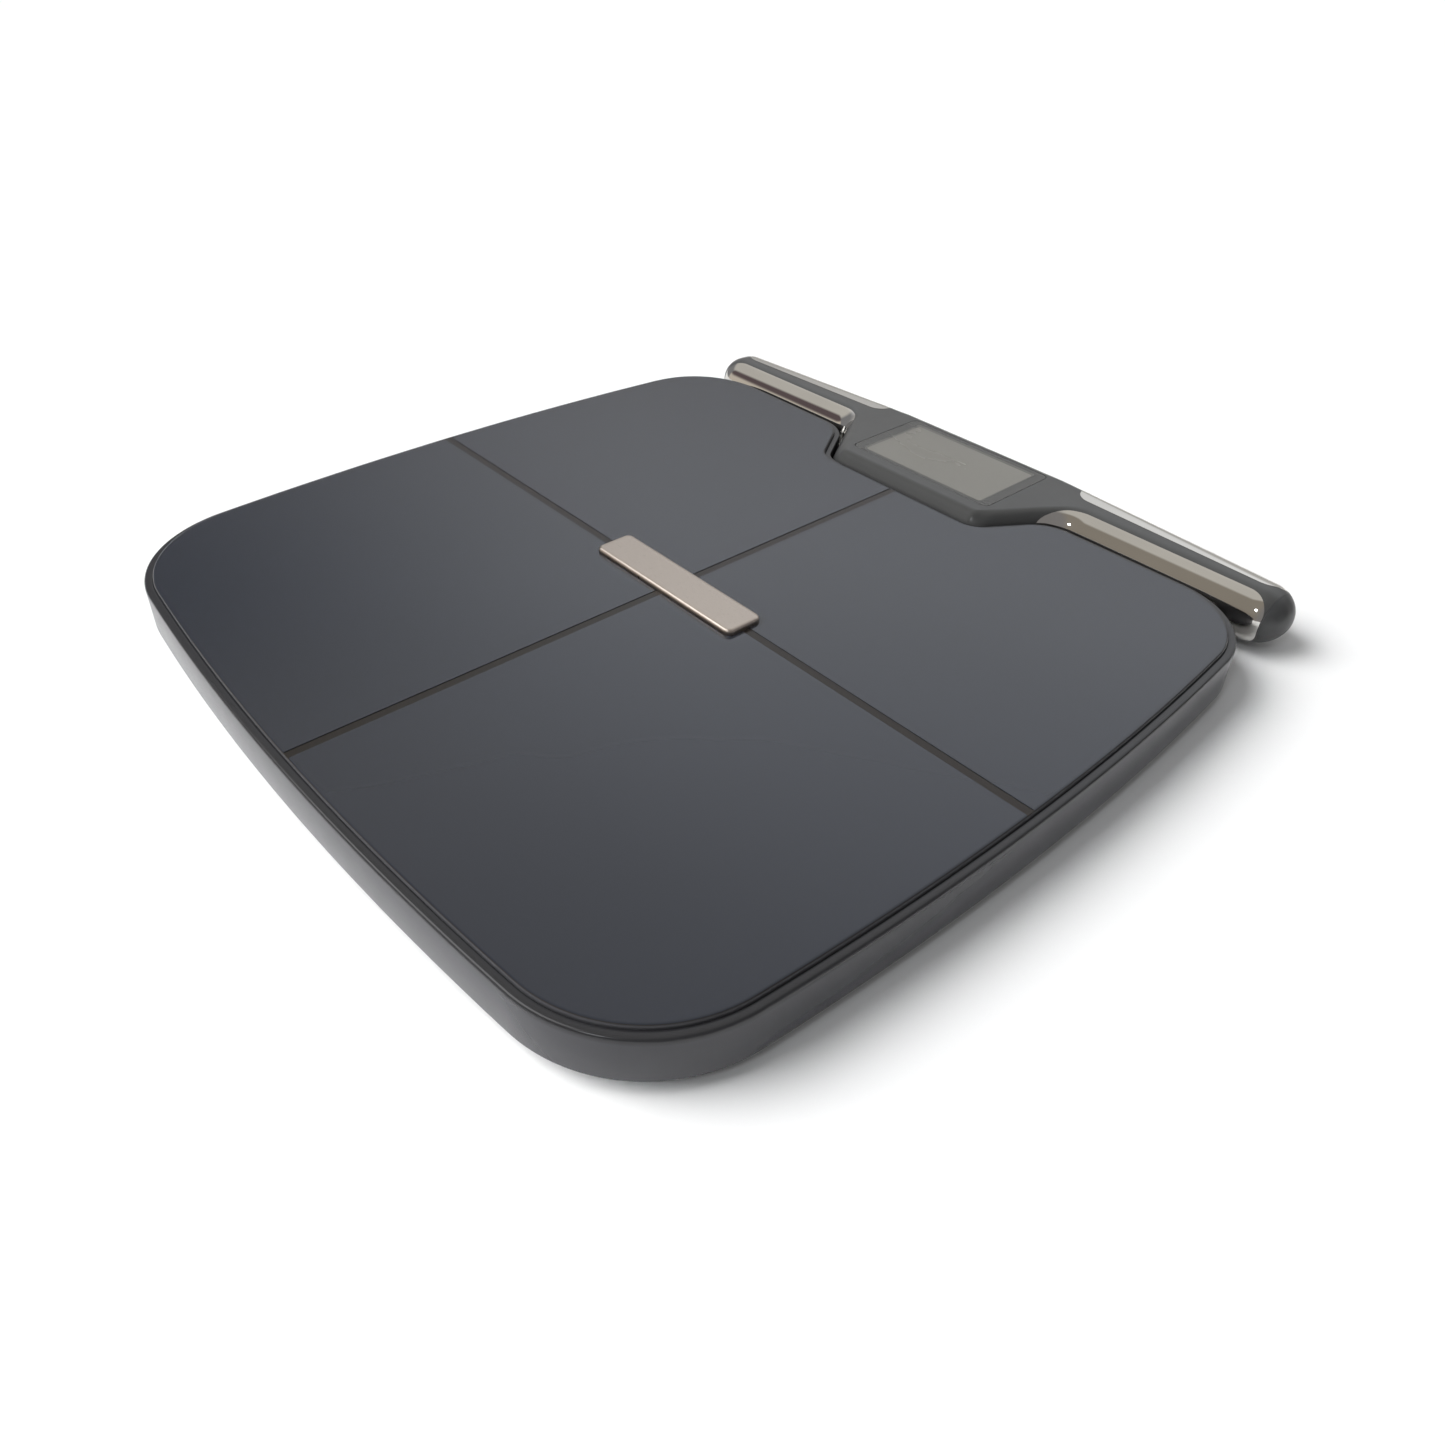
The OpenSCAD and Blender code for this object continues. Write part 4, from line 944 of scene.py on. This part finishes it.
def display():
    """The lens's printed border, the display's dark edge under it, and the display itself."""
    z1, z0 = lens_hi.z, lens_lo.z
    under, over = z0 - CUT_REACH, z1 + CUT_REACH
    window = prism(window_outline(0), under, over)
    border = cut(prism(lens_outline(-LENS_FIT, LENS_R), z0, z1), [window])
    piece = new_object("lens_border", border, "handle", ["display_lens"])
    soften(piece, LENS_EDGE_R, LENS_EDGE_STEPS)
    dress(piece, LENS_PRINT)
    depth = z1 - LCD_SUNK
    opening = prism(panel_outline(0), under, over)
    edge = cut(prism(window_outline(LCD_LAP), z0, depth), [opening])
    dress(new_object("lcd_edge", edge, "handle", None), LCD_EDGE)
    lcd_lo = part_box("lcd_panel")[0]
    panel = prism(panel_outline(LCD_LAP), lcd_lo.z, depth)
    dress(new_object("lcd_glass", panel, "handle", ["lcd_panel"]), LCD)


# ---- The rest keeps its CAD shape ----

CAD_LOOKS = {
    "gasket": RUBBER_BLACK, "base": BASE, "holder": NATURAL, "load_cell": STEEL, "foot": SHELL_PAINTED_SHADE,
    "foot_pad": RUBBER, "board": SOLDER_MASK, "switch": BUTTON, "button": BUTTON, "battery": SLEEVE,
    "contact": NICKEL, "reel": NATURAL, "drum": DRUM, "spring": SPRING_STEEL, "gland": RUBBER_BLACK,
    "screws": STEEL, "dock_pad": RUBBER_BLACK, "key": KEY,
}


def dress_cad_nodes():
    """Gives each node that keeps its CAD shape the material of its slot."""
    slots = {s["node"]: s["material_slot"] for s in frame["record"]["subparts"]}
    for name, node in NODES.items():
        look = CAD_LOOKS.get(slots[name])
        if look:
            node.data.materials.clear()
            node.data.materials.append(look)


# ---- Stage ----


FLOOR_HALF = 6
FLOOR_WHITE = (0.86, 0.86, 0.86)
FLOOR_ROUGHNESS = 0.9


def floor():
    """The white floor that the scale stands on."""
    bm = bmesh.new()
    bmesh.ops.create_grid(bm, x_segments=2, y_segments=2, size=FLOOR_HALF)
    mesh = bpy.data.meshes.new("floor")
    bm.to_mesh(mesh)
    bm.free()
    ground = bpy.data.objects.new("floor", mesh)
    bpy.context.scene.collection.objects.link(ground)
    ground.data.materials.append(material("floor_white", FLOOR_WHITE, FLOOR_ROUGHNESS))


def lamp(name, kind, power, away, distance, colour=(1, 1, 1)):
    """A lamp in the direction away from the object's middle, turned towards it."""
    data = bpy.data.lights.new(name, kind)
    data.energy = power
    data.color = colour
    made = bpy.data.objects.new(name, data)
    made.location = Vector(away).normalized() * distance
    made.rotation_euler = Vector(away).to_track_quat("Z", "Y").to_euler()
    bpy.context.scene.collection.objects.link(made)
    return made


def sky_blend(tree, source, start, end, low, high):
    """Blends two colours of the room, or what comes from two blends, by a part of the direction."""
    ramp = tree.nodes.new("ShaderNodeMapRange")
    ramp.interpolation_type = "SMOOTHSTEP"
    ramp.inputs["From Min"].default_value = start
    ramp.inputs["From Max"].default_value = end
    tree.links.new(source, ramp.inputs["Value"])
    blend = tree.nodes.new("ShaderNodeMix")
    blend.data_type = "RGBA"
    tree.links.new(ramp.outputs["Result"], blend.inputs[0])
    for slot, colour in ((MIX_A, low), (MIX_B, high)):
        if isinstance(colour, tuple):
            blend.inputs[slot].default_value = (*colour, 1)
        else:
            tree.links.new(colour, blend.inputs[slot])
    return blend.outputs[2]


def room():
    """What the gloss reflects: bright behind the handle, dim on the left, brown low in front."""
    world = bpy.data.worlds.new("room")
    bpy.context.scene.world = world
    world.cycles_visibility.diffuse = False
    world.use_nodes = True
    tree = world.node_tree
    coordinates = tree.nodes.new("ShaderNodeTexCoord")
    split = tree.nodes.new("ShaderNodeSeparateXYZ")
    tree.links.new(coordinates.outputs["Generated"], split.inputs[0])
    x, y, z = (split.outputs[axis] for axis in "XYZ")
    lean = tree.nodes.new("ShaderNodeVectorMath")
    lean.operation = "DOT_PRODUCT"
    lean.inputs[1].default_value = (-0.36, 1, 0)
    tree.links.new(coordinates.outputs["Generated"], lean.inputs[0])
    high = sky_blend(tree, z, 0.60, 0.88, (1.12, 1.14, 1.17), (0.70, 0.68, 0.65))
    back = sky_blend(tree, z, 0.30, 0.55, (0.52, 0.51, 0.50), high)
    left = sky_blend(tree, z, 0.48, 0.66, (0.25, 0.25, 0.26), (0.62, 0.60, 0.56))
    middle = sky_blend(tree, y, 0.14, 0.58, left, back)
    brown = sky_blend(tree, x, -0.62, -0.40, (0.13, 0.10, 0.105), (0.31, 0.28, 0.24))
    low = sky_blend(tree, x, -0.60, -0.42, (0.66, 0.60, 0.52), (0.27, 0.24, 0.205))
    front = sky_blend(tree, z, 0.28, 0.46, low, brown)
    leftward = sky_blend(tree, lean.outputs["Value"], -0.22, -0.08, front, middle)
    whole = sky_blend(tree, x, 0.15, 0.55, leftward, (0.26, 0.25, 0.25))
    tree.links.new(whole, tree.nodes["Background"].inputs["Color"])


def platform_group():
    """The glass, the frame and the centre plate, for a lamp that only shows in their gloss."""
    group = bpy.data.collections.new("glossy_platform")
    for piece in bpy.data.objects:
        if piece.name in ("glass_plate", "rim_frame", "crossing_plate"):
            group.objects.link(piece)
    return group


SUN_DISTANCE = 2
WINDOW_WIDTH = math.radians(50)
GLINT_WIDTH = math.radians(44)
SPOT_DISTANCE = 1.6
SPOT_SIZE = 0.22
SPOT_COLOUR = (0.92, 0.96, 1.0)


def studio():
    """The lamps: two suns for the diffuse light, one for the platform's gloss and a small spot."""
    room()
    sun = lamp("window", "SUN", 4.7, (-0.8, -0.85, 1.0), SUN_DISTANCE)
    sun.data.angle = WINDOW_WIDTH
    sun.visible_glossy = False
    dome = lamp("dome", "SUN", 0.95, (0, 0, 1), SUN_DISTANCE)
    dome.data.angle = math.pi
    dome.visible_glossy = False
    glint = lamp("glint", "SUN", 1.3, (-0.46, -0.42, 0.78), SUN_DISTANCE)
    glint.data.angle = GLINT_WIDTH
    glint.visible_diffuse = False
    glint.light_linking.receiver_collection = platform_group()
    spot = lamp("spot", "AREA", 2.4, (0.24, -0.67, 0.72), SPOT_DISTANCE, SPOT_COLOUR)
    spot.data.shape = "DISK"
    spot.data.size = SPOT_SIZE
    bpy.context.scene.view_settings.view_transform = "Standard"


make_camera()
glass_plate()
foot_films()
crossing_plate()
rim_frame()
handle_shells()
end_caps()
hand_electrodes()
display()
dress_cad_nodes()
floor()
studio()
